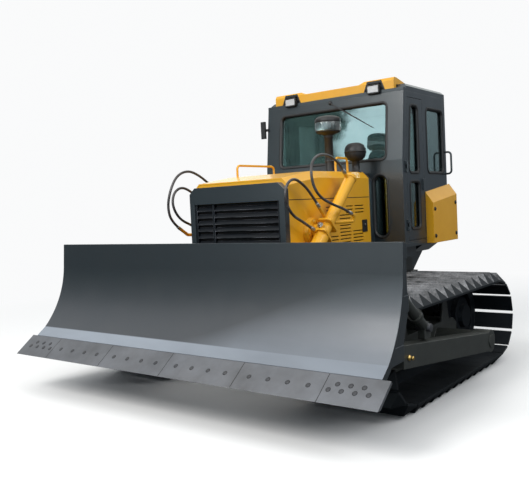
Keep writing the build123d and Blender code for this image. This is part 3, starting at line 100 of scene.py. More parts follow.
yokeRoute = [
    (0.700, -0.92364, 1.72552), (0.700, -1.02319, 1.82957), (0.700, -1.160, 1.938),
    (0.700, -1.320, 2.005), (0.700, -1.441, 1.946), (0.700, -1.474, 1.815),
    (0.700, -1.380, 1.672), (0.700, -1.200, 1.600), (0.700, -1.030, 1.520)]
hoseSettings = {
    "radius": 0.013,
    "rows": 8,
    "routes": {
        # control points in the row frame, from the port where the hose starts to the one where it ends
        "hose_yoke_left": yokeRoute,
        "hose_yoke_right": [(-x, y, z) for x, y, z in yokeRoute],
        "hose_cap_left": [
            (0.735, -0.48401, 2.04786), (0.735, -0.57734, 2.14541), (0.745, -0.790, 2.225),
            (0.760, -1.010, 2.215), (0.780, -1.150, 2.130), (0.800, -1.185, 1.970),
            (0.825, -1.120, 1.830), (0.860, -0.950, 1.750), (0.870, -0.750, 1.700), (0.865, -0.610, 1.650)],
        "hose_cap_right": [
            (-0.735, -0.535, 1.972), (-0.735, -0.690, 1.972), (-0.740, -0.850, 2.025),
            (-0.740, -1.000, 2.118), (-0.740, -1.170, 2.175), (-0.740, -1.340, 2.125),
            (-0.745, -1.440, 1.980), (-0.760, -1.480, 1.810), (-0.780, -1.420, 1.650),
            (-0.800, -1.272, 1.568)],
    },
    "lengths": {"hose_cap_left": 1.588, "hose_yoke_left": 1.286, "hose_cap_right": 1.524,
                "hose_yoke_right": 1.286},
    "collar": [(0.0145, 0.0), (0.0185, 0.003), (0.0185, 0.030), (0.0165, 0.033), (0.0165, 0.046), (0.0145, 0.06)],
}


def layHose(name, settings):
    # one smooth NURBS curve through the hose's own points, round in section
    route = settings["routes"][name]
    curve = bpy.data.curves.new(name + "_run", "CURVE")
    curve.dimensions = "3D"
    curve.bevel_depth = settings["radius"]
    curve.bevel_resolution = settings["rows"]
    curve.use_fill_caps = True
    curve.resolution_u = 16
    spline = curve.splines.new("NURBS")
    spline.points.add(len(route) - 1)
    spline.points.foreach_set("co", np.c_[np.array(route), np.ones(len(route))].ravel())
    spline.order_u = 3
    spline.use_endpoint_u = True
    hose = bpy.data.objects.new(name + "_run", curve)
    scene.collection.objects.link(hose)
    return hose


hoses = {name: layHose(name, hoseSettings) for name in hoseSettings["routes"]}
print("hoses laid")


def feed(tree, node, inputs):
    # a socket is linked, anything else is set as a value, and a colour of three numbers is given its alpha
    for key, value in inputs.items():
        socket = node.inputs[key]
        if isinstance(value, bpy.types.NodeSocket):
            tree.links.new(value, socket)
        else:
            socket.default_value = (*value, 1.0) if socket.type == "RGBA" and len(value) == 3 else value


def addNode(tree, kind, inputs=None, **settings):
    node = tree.nodes.new("ShaderNode" + kind)
    for key, value in settings.items():
        setattr(node, key, value)
    feed(tree, node, inputs or {})
    return node


def newGroup(name, inputs, outputs):
    # a number makes a number's socket, a tuple a colour's and None a vector's
    group = bpy.data.node_groups.new(name, "ShaderNodeTree")
    for label, value in inputs.items():
        kind = {float: "Float", tuple: "Color"}.get(type(value), "Vector")
        socket = group.interface.new_socket(label, in_out="INPUT", socket_type="NodeSocket" + kind)
        if value is not None:
            socket.default_value = value
    for label, kind in outputs.items():
        group.interface.new_socket(label, in_out="OUTPUT", socket_type="NodeSocket" + kind)
    return group, group.nodes.new("NodeGroupInput").outputs, group.nodes.new("NodeGroupOutput")


def newMaterial(name):
    material = bpy.data.materials.new(name)
    material.use_nodes = True
    return material, material.node_tree, material.node_tree.nodes["Principled BSDF"]


def mathNode(tree, operation, a, b=0.5, clamp=False):
    return addNode(tree, "Math", {0: a, 1: b}, operation=operation, use_clamp=clamp).outputs[0]


def product(tree, *factors, clamp=False):
    result = factors[0]
    for factor in factors[1:]:
        result = mathNode(tree, "MULTIPLY", result, factor, clamp)
    return result


def mixColour(tree, factor, a, b):
    return addNode(tree, "Mix", {0: factor, 6: a, 7: b}, data_type="RGBA").outputs[2]


def mapRange(tree, value, low, high, toLow=0.0, toHigh=1.0, kind="LINEAR"):
    return addNode(tree, "MapRange", {0: value, 1: low, 2: high, 3: toLow, 4: toHigh},
                   interpolation_type=kind).outputs[0]


def noise(tree, where, scale, detail, rough=0.5):
    return addNode(tree, "TexNoise", {"Vector": where, "Scale": scale, "Detail": detail,
                                      "Roughness": rough}).outputs["Fac"]


def objectPlace(tree):
    return addNode(tree, "TexCoord").outputs["Object"]


def axesOf(tree, vector):
    return addNode(tree, "SeparateXYZ", {0: vector}).outputs


def flatNormal(tree):
    return addNode(tree, "NewGeometry").outputs["Normal"]


def addBump(tree, strength, distance, height, normal=None):
    under = {} if normal is None else {"Normal": normal}
    return addNode(tree, "Bump", {"Strength": strength, "Distance": distance, "Height": height, **under}).outputs[0]


def buildEdgeWornAndHighlit():
    # mask = how far the rounded normal leans from the flat one, broken up by noise; edges under it turn paler,
    # partly as worn paint and partly as a painted highlight
    group, given, put = newGroup("edgeWornAndHighlit", {"Radius": 0.012, "Breakup": 9.0, "Amount": 0.5},
                                 {"Mask": "Float", "Normal": "Vector"})
    bevel = addNode(group, "Bevel", {"Radius": given["Radius"]}, samples=4).outputs[0]
    lean = addNode(group, "VectorMath", {0: bevel, 1: flatNormal(group)}, operation="DOT_PRODUCT").outputs["Value"]
    edge = mapRange(group, lean, 0.999, 0.86)
    worn = mapRange(group, noise(group, objectPlace(group), given["Breakup"], 6.0, 0.65), 0.42, 0.62)
    feed(group, put, {"Mask": product(group, edge, worn, given["Amount"], clamp=True), "Normal": bevel})
    return group


def buildDust():
    # dust lies where the surface looks up and is low, in patches of two sizes, and thins out on upright sides and,
    # by Sides, on faces that look across the machine
    group, given, put = newGroup(
        "dustFilm", {"Amount": 0.4, "Low": 0.0, "High": 1.4, "Upright": 0.15, "Sides": 1.0, "Rest": 0.25},
        {"Mask": "Float"})
    here = objectPlace(group)
    flat = axesOf(group, flatNormal(group))
    lying = mapRange(group, flat["Z"], 0.1, 0.9, given["Upright"])
    low = mapRange(group, axesOf(group, here)["Z"], given["Low"], given["High"], 1.0, given["Rest"])
    sideways = mapRange(group, mathNode(group, "ABSOLUTE", flat["X"]), 0.12, 0.35, 1.0, given["Sides"])
    spread = mapRange(group, noise(group, here, 2.3, 8.0, 0.7), 0.35, 0.68)
    fine = mapRange(group, noise(group, here, 60.0, 3.0), 0.3, 0.7, 0.55)
    feed(group, put, {"Mask": product(group, lying, low, spread, fine, sideways, given["Amount"], clamp=True)})
    return group


def buildGrain():
    # a bump of two noises: the fine peel of sprayed paint or cast skin, and slow waves in the sheet
    group, given, put = newGroup("surfaceGrain", {"Scale": 260.0, "Peel": 0.1, "Waves": 0.1, "Normal": None},
                                 {"Normal": "Vector", "Mottle": "Float"})
    here = objectPlace(group)
    slow = noise(group, here, 3.1, 4.0, 0.6)
    waves = addBump(group, given["Waves"], 0.01, slow, given["Normal"])
    peel = addBump(group, given["Peel"], 0.001, noise(group, here, given["Scale"], 2.0), waves)
    feed(group, put, {"Normal": peel, "Mottle": slow})
    return group


def buildPolishedSheenAndShadeBlade():
    # soil polishes the blade's lower part to pale steel, and that paleness is also a painted sheen: a crisp strip
    # below one height, strip = (band - z) / 0.006, and towards the machine's left a soft rise, (0.60 + 0.62 s - z)
    # / (0.05 + 1.05 s), s = how far left; the paint is lighter low down as a painted reflection and darkens upward
    # as painted shade
    group, given, put = newGroup(
        "polishedSheenAndShadeBlade", {"Colour": (0.02, 0.027, 0.033, 1.0), "Mid": (0.046, 0.053, 0.062, 1.0),
                        "Pale": (0.28, 0.32, 0.375, 1.0), "Band": 0.617}, {"Colour": "Color"})
    here = objectPlace(group)
    split = axesOf(group, here)
    across, height = split["X"], split["Z"]
    stretched = addNode(group, "VectorMath", {0: here, 1: (1.2, 1.0, 5.0)}, operation="MULTIPLY").outputs[0]
    worn = mapRange(group, noise(group, stretched, 1.6, 6.0), 0.3, 0.7, 0.82)
    strip = mathNode(group, "DIVIDE", mathNode(group, "SUBTRACT", given["Band"], height), 0.006, True)
    strip = product(group, strip, mapRange(group, across, -0.5, 1.0, 1.0, 0.75))
    side = mapRange(group, across, -0.4, 2.1, kind="SMOOTHSTEP")
    rise = mathNode(group, "ADD", product(group, side, 0.62), 0.60)
    width = mathNode(group, "ADD", product(group, side, 1.05), 0.05)
    soft = mathNode(group, "DIVIDE", mathNode(group, "SUBTRACT", rise, height), width, True)
    soft = product(group, soft, mapRange(group, side, 0.0, 0.35))
    # painted reflection and shade: lighter towards the bottom, darker towards the top
    dim = mapRange(group, height, 1.25, 0.68, kind="SMOOTHSTEP")
    colour = mixColour(group, dim, given["Colour"], given["Mid"])
    # pale = polished steel under a painted sheen
    pale = product(group, mathNode(group, "MAXIMUM", strip, soft), worn)
    colour = mixColour(group, pale, colour, given["Pale"])
    ahead = mapRange(group, axesOf(group, flatNormal(group))["Y"], -0.1, -0.4)
    feed(group, put, {"Colour": mixColour(group, ahead, given["Colour"], colour)})
    return group


edgeWornAndHighlit = buildEdgeWornAndHighlit()
dustFilm = buildDust()
surfaceGrain = buildGrain()
polishedSheenAndShadeBlade = buildPolishedSheenAndShadeBlade()

lookDefaults = {
    # paler edges: partly worn paint, partly a painted highlight
    "edgeRadius": 0.006, "wornAndHighlit": 0.3, "breakup": 14.0, "grainScale": 260.0, "peel": 0.12, "waves": 0.08,
    "dust": 0.3, "dustLow": 0.0, "dustHigh": 1.6, "dustUpright": 0.12, "dustSides": 1.0, "dustRest": 0.25,
    # the blade's switch: pale polished steel with a painted sheen, and painted shade higher up
    "dustColour": (0.36, 0.32, 0.27), "polishedSheenAndShade": False, "metal": 0.0, "coat": 0.0, "coatRough": 0.15,
    "specular": 0.5,
}


def paintedFinish(name, look):
    # paint = base colour mottled slowly, paler on edges, partly worn to primer and partly a painted highlight,
    # under a film of dust
    look = {**lookDefaults, **look}
    material, tree, shader = newMaterial(name)
    wornAndHighlit = addNode(tree, "Group", {"Radius": look["edgeRadius"], "Amount": look["wornAndHighlit"],
                                   "Breakup": look["breakup"]}, node_tree=edgeWornAndHighlit).outputs
    grain = addNode(tree, "Group", {"Normal": wornAndHighlit["Normal"], "Scale": look["grainScale"], "Peel": look["peel"],
                                    "Waves": look["waves"]}, node_tree=surfaceGrain).outputs
    film = {key: look["dust" + key] for key in ("Low", "High", "Upright", "Sides", "Rest")}
    dust = addNode(tree, "Group", {"Amount": look["dust"], **film}, node_tree=dustFilm).outputs["Mask"]
    colour = mixColour(tree, mapRange(tree, grain["Mottle"], 0.3, 0.7), look["colour"], look["deep"])
    # on the blade, pale polished steel with a painted sheen, and painted shade towards its top
    if look["polishedSheenAndShade"]:
        colour = addNode(tree, "Group", {"Colour": colour}, node_tree=polishedSheenAndShadeBlade).outputs["Colour"]
    # paler edges: worn paint together with a painted highlight
    colour = mixColour(tree, wornAndHighlit["Mask"], colour, look["edge"])
    colour = mixColour(tree, dust, colour, look["dustColour"])
    rough = mapRange(tree, grain["Mottle"], 0.3, 0.7, look["rough"] - 0.04, look["rough"] + 0.05)
    rough = mathNode(tree, "ADD", rough, product(tree, dust, 0.5), True)
    feed(tree, shader, {"Base Color": colour, "Roughness": rough, "Normal": grain["Normal"],
                        "Metallic": look["metal"], "Coat Weight": look["coat"],
                        "Coat Roughness": look["coatRough"], "Specular IOR Level": look["specular"]})
    return material


finishLooks = {
    "yellowPaint": {"colour": (0.86, 0.44, 0.018), "deep": (0.80, 0.39, 0.014), "edge": (0.95, 0.66, 0.2),
                    "rough": 0.32, "wornAndHighlit": 0.35, "dust": 0.05, "coat": 0.4, "edgeRadius": 0.008,
                    "specular": 0.4},
    "charcoalPaint": {"colour": (0.022, 0.031, 0.038), "deep": (0.017, 0.025, 0.031), "edge": (0.16, 0.18, 0.2),
                      "rough": 0.34, "wornAndHighlit": 0.5, "dust": 0.04, "coat": 0.4, "edgeRadius": 0.008},
    # the blade: polished steel low down with a painted sheen, and painted shade darkening it upward
    "bladePaint": {"colour": (0.020, 0.027, 0.033), "deep": (0.016, 0.022, 0.027), "edge": (0.16, 0.18, 0.2),
                   "rough": 0.36, "wornAndHighlit": 0.5, "dust": 0.05, "coat": 0.1, "edgeRadius": 0.008, "waves": 0.12,
                   "polishedSheenAndShade": True},
    "framePaint": {"colour": (0.030, 0.034, 0.031), "deep": (0.020, 0.023, 0.021), "edge": (0.18, 0.19, 0.17),
                   "rough": 0.42, "wornAndHighlit": 0.6, "dust": 0.22, "edgeRadius": 0.010, "peel": 0.2,
                   "dustColour": (0.13, 0.12, 0.10)},
    # track: grey dust on the upper run's tops; kept off the shoe ends and the lower run so that these stay dark as
    # painted shade
    "trackSteel": {"colour": (0.004, 0.007, 0.010), "deep": (0.008, 0.010, 0.012), "edge": (0.12, 0.125, 0.13),
                   "rough": 0.55, "wornAndHighlit": 0.35, "dust": 1.5, "edgeRadius": 0.005, "peel": 0.5, "specular": 0.25,
                   "grainScale": 120.0, "dustColour": (0.34, 0.35, 0.37), "dustLow": 0.85, "dustHigh": 0.55,
                   "dustUpright": 0.0, "dustSides": 0.0, "dustRest": 0.03},
    "edgeSteel": {"colour": (0.175, 0.185, 0.205), "deep": (0.11, 0.115, 0.125), "edge": (0.42, 0.43, 0.45),
                  "rough": 0.5, "wornAndHighlit": 0.6, "dust": 0.1, "metal": 0.5, "edgeRadius": 0.004, "peel": 0.4,
                  "grainScale": 90.0, "waves": 0.2},
    "rodChrome": {"colour": (0.62, 0.63, 0.65), "deep": (0.56, 0.57, 0.59), "edge": (0.75, 0.75, 0.76),
                  "rough": 0.14, "wornAndHighlit": 0.2, "dust": 0.08, "metal": 1.0, "edgeRadius": 0.002, "peel": 0.02},
    "blackTrim": {"colour": (0.014, 0.014, 0.015), "deep": (0.01, 0.01, 0.011), "edge": (0.05, 0.05, 0.052),
                  "rough": 0.5, "wornAndHighlit": 0.4, "dust": 0.2, "edgeRadius": 0.004, "peel": 0.3},
    "seatCloth": {"colour": (0.02, 0.02, 0.022), "deep": (0.014, 0.014, 0.016), "edge": (0.04, 0.04, 0.042),
                  "rough": 0.8, "wornAndHighlit": 0.1, "dust": 0.1, "edgeRadius": 0.004, "peel": 0.6, "grainScale": 420.0},
    # the grille's pale slat edges are a painted highlight along thin lines
    "grilleBlack": {"colour": (0.005, 0.008, 0.012), "deep": (0.004, 0.006, 0.009), "edge": (0.34, 0.36, 0.40),
                    "rough": 0.42, "wornAndHighlit": 1.0, "dust": 0.03, "edgeRadius": 0.004, "breakup": 3.0,
                    "specular": 0.25},
    "ferruleZinc": {"colour": (0.46, 0.45, 0.43), "deep": (0.36, 0.35, 0.33), "edge": (0.6, 0.6, 0.58),
                    "rough": 0.3, "wornAndHighlit": 0.4, "dust": 0.2, "metal": 0.9, "edgeRadius": 0.002, "peel": 0.1},
    "boltSteel": {"colour": (0.055, 0.058, 0.066), "deep": (0.040, 0.042, 0.048), "edge": (0.24, 0.25, 0.27),
                  "rough": 0.5, "wornAndHighlit": 0.5, "dust": 0.1, "metal": 0.3, "edgeRadius": 0.002, "peel": 0.4},
    "darkRecess": {"colour": (0.008, 0.008, 0.009), "deep": (0.006, 0.006, 0.007), "edge": (0.02, 0.02, 0.02),
                   "rough": 0.7, "wornAndHighlit": 0.1, "dust": 0.1, "edgeRadius": 0.002, "peel": 0.2},
    "coreBlack": {"colour": (0.006, 0.007, 0.009), "deep": (0.016, 0.012, 0.010), "edge": (0.05, 0.045, 0.04),
                  "rough": 0.6, "wornAndHighlit": 0.3, "dust": 0.05, "edgeRadius": 0.002, "peel": 0.3, "specular": 0.2},
    "brass": {"colour": (0.62, 0.42, 0.14), "deep": (0.5, 0.32, 0.1), "edge": (0.8, 0.62, 0.3),
              "rough": 0.32, "wornAndHighlit": 0.4, "dust": 0.25, "metal": 1.0, "edgeRadius": 0.002, "peel": 0.1},
}
finishes = {name: paintedFinish(name, look) for name, look in finishLooks.items()}

glassLooks = {
    "screenGlass": {"tint": (0.42, 0.56, 0.56), "rough": 0.01, "mirror": 0.4},
    "sideGlass": {"tint": (0.28, 0.4, 0.4), "rough": 0.01, "mirror": 0.12},
    "bowlPlastic": {"tint": (0.34, 0.36, 0.36), "rough": 0.22, "mirror": 0.12},
}


def glassFinish(name, look):
    # a tinted pane: clear transmission, with faint smears in its roughness and its tint
    material, tree, shader = newMaterial(name)
    smear = noise(tree, objectPlace(tree), 4.0, 5.0, 0.6)
    dim = tuple(v * 0.9 for v in look["tint"])
    feed(tree, shader, {"Roughness": mapRange(tree, smear, 0.35, 0.7, look["rough"], look["rough"] + 0.06),
                        "Base Color": mixColour(tree, mapRange(tree, smear, 0.3, 0.7), look["tint"], dim),
                        "Transmission Weight": 1.0, "Metallic": look["mirror"], "IOR": 1.45})
    return material


def lampFinish():
    # a moulded lens: prisms in two directions over a bright reflector
    material, tree, shader = newMaterial("lampLens")
    here = objectPlace(tree)
    prism = product(tree, *(addNode(tree, "TexWave", {"Vector": here, "Scale": 22.0},
                                    bands_direction=axis).outputs["Fac"] for axis in "XZ"))
    feed(tree, shader, {"Base Color": mixColour(tree, prism, (0.5, 0.52, 0.55), (0.95, 0.95, 0.93)),
                        "Normal": addBump(tree, 0.4, 0.003, prism), "Roughness": 0.12, "Coat Weight": 0.6})
    return material


def braidFinish():
    # a rubber hose under its braid: two crossing spirals, dark in the valleys and pale on the ridges, partly worn
    # and partly a painted highlight
    material, tree, shader = newMaterial("hoseBraid")
    here = objectPlace(tree)
    braid = product(tree, *(addNode(
        tree, "TexWave", {"Vector": here, "Scale": 90.0, "Distortion": 1.5, "Phase Offset": phase},
        bands_direction="DIAGONAL").outputs["Fac"] for phase in (0.0, 1.7)))
    rub = noise(tree, here, 14.0, 5.0)
    # pale ridges where the rubbing noise allows: worn braid and painted highlight
    worn = product(tree, braid, mapRange(tree, rub, 0.42, 0.66, 0.15))
    feed(tree, shader, {"Base Color": mixColour(tree, worn, (0.034, 0.030, 0.030), (0.30, 0.285, 0.29)),
                        "Normal": addBump(tree, 0.35, 0.001, braid),
                        "Roughness": mapRange(tree, rub, 0.3, 0.7, 0.32, 0.5)})
    return material


finishes |= {name: glassFinish(name, look) for name, look in glassLooks.items()}
finishes["lampLens"] = lampFinish()
finishes["hoseBraid"] = braidFinish()

nodeFinishes = {
    "yellowPaint": ["hood", "engine_sides", "roof_visor", "hood_rails", "battery_box", "hydraulic_tank",
                    "cylinder_brackets", "lift_barrel_left", "lift_barrel_right"],
    "charcoalPaint": ["radiator_guard", "cab_floor", "cab_front", "cab_rear", "cab_side_left",
                      "cab_side_right", "cab_roof", "door_left", "door_right", "grab_rails", "cowl",
                      "fuel_tank"],
    "grilleBlack": ["grille"],
    "bladePaint": ["moldboard"],
    "framePaint": ["main_frame", "equalizer_bar", "track_frame_left", "track_frame_right", "push_arms",
                   "blade_braces", "drawbar", "final_drives", "rear_case",
                   "engine_block"],
    "trackSteel": ["track_left", "track_right", "sprockets", "idlers", "rollers"],
    "edgeSteel": ["cutting_edges"],
    "rodChrome": ["lift_rod_left", "lift_rod_right"],
    "screenGlass": ["cab_glass"],
    "sideGlass": ["door_glass_left", "door_glass_right"],
    "blackTrim": ["exhaust_stack", "air_precleaner", "mirror", "console"],
    "lampLens": ["work_lamps"],
    "seatCloth": ["seat"],
}


def dressNodes(table):
    for finish, names in table.items():
        for name in names:
            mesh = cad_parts[name].data
            mesh.materials.clear()
            mesh.materials.append(finishes[finish])


dressNodes(nodeFinishes)
print("CAD nodes finished")


stageSettings = {
    "floorSize": 60.0,
    "paper": (0.93, 0.935, 0.94),
    "ground": (0.11, 0.115, 0.12),
    "backColour": (0.955, 0.96, 0.965),
    "fadeStart": 3.6,
    "fadeEnd": 9.0,
    "domeLow": (0.10, 0.12, 0.14),
    "domeMiddle": (0.42, 0.46, 0.50),
    "domeHigh": (1.0, 1.0, 0.98),
    "domeStrength": 1.05,
    "leafDark": (0.012, 0.026, 0.020),
    "leafPale": (0.10, 0.16, 0.12),
    "openSky": (1.75, 2.00, 2.10),
    "farSky": (1.25, 1.32, 1.30),
    "skyEdge": 0.755,         # sideways over forward, where the leaves give way to open sky
}


def buildStage(settings):
    half = settings["floorSize"] / 2
    mesh = bpy.data.meshes.new("floor")
    mesh.from_pydata([(-half, -half, 0), (half, -half, 0), (half, half, 0), (-half, half, 0)], [], [(0, 1, 2, 3)])
    floor = bpy.data.objects.new("floor", mesh)
    scene.collection.objects.link(floor)
    material, tree, shader = newMaterial("floorPaper")
    here = objectPlace(tree)
    dim = tuple(v * 0.99 for v in settings["paper"])
    seen = mixColour(tree, noise(tree, here, 1.2, 3.0), settings["paper"], dim)
    toCamera = addNode(tree, "LightPath").outputs["Is Camera Ray"]
    # only the camera sees white paper, so that the underside stays as dark as over bare ground
    feed(tree, shader, {"Base Color": mixColour(tree, toCamera, settings["ground"], seen), "Roughness": 0.95,
                        "Specular IOR Level": 0.1})
    # far out the floor melts into the backdrop's own colour
    away = addNode(tree, "VectorMath", {0: here}, operation="LENGTH").outputs["Value"]
    far = product(tree, mapRange(tree, away, settings["fadeStart"], settings["fadeEnd"]), toCamera)
    glow = addNode(tree, "Emission", {"Color": settings["backColour"], "Strength": 1.0})
    mix = addNode(tree, "MixShader", {0: far, 1: shader.outputs[0], 2: glow.outputs[0]})
    feed(tree, tree.nodes["Material Output"], {"Surface": mix.outputs[0]})
    mesh.materials.append(material)


def buildWorld(settings):
    # the camera and what it sees through glass meet the pale backdrop; surfaces meet a dome that is dark at
    # the ground and bright overhead, and gloss also meets a bank of leaves with open sky beside it
    world = bpy.data.worlds.new("paleSky")
    scene.world = world
    world.use_nodes = True
    tree = world.node_tree
    way = addNode(tree, "TexCoord").outputs["Generated"]
    split = axesOf(tree, way)
    x, y, z = split["X"], split["Y"], split["Z"]
    dome = mixColour(tree, mapRange(tree, z, -0.05, 0.30), settings["domeLow"], settings["domeMiddle"])
    dome = mixColour(tree, mapRange(tree, z, 0.25, 0.95), dome, settings["domeHigh"])
    leaves = noise(tree, way, 26.0, 7.0, 0.7)
    bank = mixColour(tree, mapRange(tree, leaves, 0.45, 0.68), settings["leafDark"], settings["leafPale"])
    ragged = product(tree, mathNode(tree, "SUBTRACT", leaves, 0.5), 0.22)
    border = mathNode(tree, "ADD", mathNode(tree, "ADD", mathNode(tree, "DIVIDE", x, y), ragged),
                      product(tree, z, 0.45))
    beyond = mapRange(tree, border, settings["skyEdge"], settings["skyEdge"] + 0.02, 1.0, 0.0)
    scenery = mixColour(tree, beyond, bank, settings["openSky"])
    above = product(tree, mapRange(tree, y, -0.35, -0.5), mapRange(tree, z, 0.46, 0.38),
                    mapRange(tree, z, 0.0, 0.02))
    behind = product(tree, mapRange(tree, y, 0.15, 0.45), mapRange(tree, z, 0.0, 0.03),
                     mapRange(tree, x, 0.1, -0.2))
    glossy = mixColour(tree, behind, mixColour(tree, above, dome, scenery), settings["farSky"])
    path = addNode(tree, "LightPath").outputs
    lit = addNode(tree, "Background", {"Color": mixColour(tree, path["Is Glossy Ray"], dome, glossy),
                                       "Strength": settings["domeStrength"]})
    back = addNode(tree, "Background", {"Color": settings["backColour"], "Strength": 1.0})
    seen = mathNode(tree, "ADD", path["Is Camera Ray"], path["Is Transmission Ray"], True)
    mix = addNode(tree, "MixShader", {0: seen, 1: lit.outputs[0], 2: back.outputs[0]})
    feed(tree, tree.nodes["World Output"], {"Surface": mix.outputs[0]})


lightSettings = {
    "keyLight": {"place": (-1.5, -9.0, 8.5), "size": (5.0, 5.0), "power": 700.0, "colour": (1.0, 0.98, 0.95)},
    "sideLight": {"place": (7.5, -2.0, 6.5), "size": (4.0, 4.0), "power": 210.0, "colour": (0.98, 0.99, 1.0)},
}
lightAim = Vector((0.0, 0.0, 1.2))


def addLight(name, settings):
    data = bpy.data.lights.new(name, "AREA")
    data.shape = "RECTANGLE"
    data.size, data.size_y = settings["size"]
    data.energy = settings["power"]
    data.color = settings["colour"]
    light = bpy.data.objects.new(name, data)
    scene.collection.objects.link(light)
    light.location = settings["place"]
    light.rotation_euler = (lightAim - Vector(settings["place"])).to_track_quat("-Z", "Y").to_euler()


buildStage(stageSettings)
buildWorld(stageSettings)
for name, settings in lightSettings.items():
    addLight(name, settings)
print("stage and lights ready")


def newPiece(name, form, finish, body, slot, smooth=True):
    points, faces = form
    mesh = bpy.data.meshes.new(name)
    mesh.from_pydata(np.asarray(points, float).tolist(), [], [list(map(int, f)) for f in faces])
    mesh.update()
    if smooth:
        mesh.shade_smooth()
    mesh.materials.append(finishes[finish])
    piece = bpy.data.objects.new(name, mesh)
    scene.collection.objects.link(piece)
    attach(piece, body)
    return piece


def newParts(name, forms, *rest, **options):
    # one piece of several forms, each turned to face outwards first
    return newPiece(name, joinForms([facing(form) for form in forms]), *rest, **options)


def gridFaces(rows, columns, ring=False):
    # quads between row i and i + 1, wrapping round the columns, and in a ring from the last row to the first
    i, j = np.meshgrid(np.arange(rows if ring else rows - 1), np.arange(columns), indexing="ij")
    n, k = (i + 1) % rows, (j + 1) % columns
    quads = np.stack([i * columns + j, i * columns + k, n * columns + k, n * columns + j], -1)
    return quads.reshape(-1, 4).tolist()


def tubeFaces(rows, columns):
    # a tube of rows with a flat face over each end
    ends = [list(range(columns))[::-1], list(range((rows - 1) * columns, rows * columns))]
    return gridFaces(rows, columns) + ends


def closePoles(grid, first, last):
    # rows of points closed round, with a fan of triangles to a pole at each end
    rows, columns = grid.shape[:2]
    j = np.arange(columns)
    k, top, pole = (j + 1) % columns, (rows - 1) * columns, np.full(columns, rows * columns)
    fans = np.concatenate([np.stack([k, j, pole], -1), np.stack([top + j, top + k, pole + 1], -1)])
    return np.vstack([grid.reshape(-1, 3), [first, last]]), gridFaces(rows, columns) + fans.tolist()


def turnedForm(profile, sides):
    # a turned shape: point = (r cos t, r sin t, h) for each (r, h) of the profile, closed at both poles
    t = np.linspace(0, 2 * np.pi, sides, endpoint=False)
    r, h = np.array(profile, float).T[:, :, None]
    grid = np.stack([r * np.cos(t), r * np.sin(t), h + 0 * t], -1)
    return closePoles(grid, (0, 0, h[0, 0]), (0, 0, h[-1, 0]))


def stampForm(form, places, axes=np.eye(3)):
    # copies of one form: point = place + x ex + y ey + z ez, with one set of axes for all or one for each
    points, faces = form
    places = np.asarray(places, float)
    axes = np.broadcast_to(np.asarray(axes, float), (len(places), 3, 3))
    spread = np.einsum("pk,nkc->npc", points, axes) + places[:, None, :]
    copies = [[v + n * len(points) for v in f] for n in range(len(places)) for f in faces]
    return spread.reshape(-1, 3), copies


def turnAxes(direction):
    # three axes for a turned form whose height runs along a direction
    z = Vector(direction).normalized()
    x = z.orthogonal().normalized()
    return [list(x), list(z.cross(x)), list(z)]


def sideAxes(side):
    # the same for a form whose height runs out of the machine's side
    return [[0, side, 0], [0, 0, 1], [side, 0, 0]]


def joinForms(forms):
    # several forms as one, the faces counted on from form to form
    points, faces, start = [], [], 0
    for formPoints, formFaces in forms:
        points.append(np.asarray(formPoints, float))
        faces += [[v + start for v in face] for face in formFaces]
        start += len(formPoints)
    return np.vstack(points), faces


def slabForm(low, high, soft):
    # a block with softened edges: each corner is cut back by soft along each axis in turn
    low, high = np.asarray(low, float), np.asarray(high, float)
    middle, half = (low + high) / 2, (high - low) / 2
    points = []
    for z, inset in ((-half[2], soft), (soft - half[2], 0), (half[2] - soft, 0), (half[2], soft)):
        wide, deep = half[0] - inset, half[1] - inset
        for sx, sy in ((-1, -1), (1, -1), (1, 1), (-1, 1)):
            corner = [(sx * (wide - soft), sy * deep, z), (sx * wide, sy * (deep - soft), z)]
            points += corner if sx * sy > 0 else corner[::-1]
    return np.array(points) + middle, tubeFaces(4, 8)


def rectangle(x0, x1, z0, z1):
    return [(x0, z0), (x1, z0), (x1, z1), (x0, z1)]


def trapeze(x, low, high):
    # a closed outline round x, from two half widths, each with its height
    return [(x - low[0], low[1]), (x + low[0], low[1]), (x + high[0], high[1]), (x - high[0], high[1])]


def roundedOutline(corners, radius, steps=7):
    # each corner of a closed outline becomes an arc that touches both of its sides
    corners = np.asarray(corners, float)
    before, after = np.roll(corners, 1, axis=0), np.roll(corners, -1, axis=0)
    first = (before - corners) / np.linalg.norm(before - corners, axis=1)[:, None]
    second = (after - corners) / np.linalg.norm(after - corners, axis=1)[:, None]
    half = np.arccos(np.clip((first * second).sum(1), -1, 1)) / 2
    half = np.minimum(half, math.radians(88))
    middle = (first + second) / np.linalg.norm(first + second, axis=1)[:, None]
    centre = corners + middle * (radius / np.sin(half))[:, None]
    start = corners + first * (radius / np.tan(half))[:, None] - centre
    finish = corners + second * (radius / np.tan(half))[:, None] - centre
    t = np.linspace(0, 1, steps)[None, :, None]
    blend = start[:, None, :] * (1 - t) + finish[:, None, :] * t
    blend *= radius / np.linalg.norm(blend, axis=2)[:, :, None]
    outward = blend / radius
    return (centre[:, None, :] + blend).reshape(-1, 2), outward.reshape(-1, 2)


def sweptFrame(corners, radius, profile, place):
    # a rim along an outline: point = outline + outward a, at depth b, for each (a, b) of its section
    path, outward = roundedOutline(corners, radius)
    a, b = np.asarray(profile, float).T
    flat = path[:, None, :] + outward[:, None, :] * a[None, :, None]
    return place(flat.reshape(-1, 2), np.tile(b, len(path))), gridFaces(len(path), len(a), ring=True)


def facing(form):
    # turns every face over where the form's volume comes out negative
    points, faces = form
    volume = 0.0
    for face in faces:
        p = points[list(face)]
        volume += np.dot(p[0], np.cross(p[1:-1], p[2:]).sum(0))
    return (points, faces) if volume > 0 else (points, [list(face)[::-1] for face in faces])


front = cadBox[0][1]
twoSides = (("left", 1), ("right", -1))
cabFace = {
    "front": front + 2.870, "leanFrom": 2.2, "lean": math.tan(math.radians(6.7)), "side": 0.920,
    "rear": front + 4.060,
}


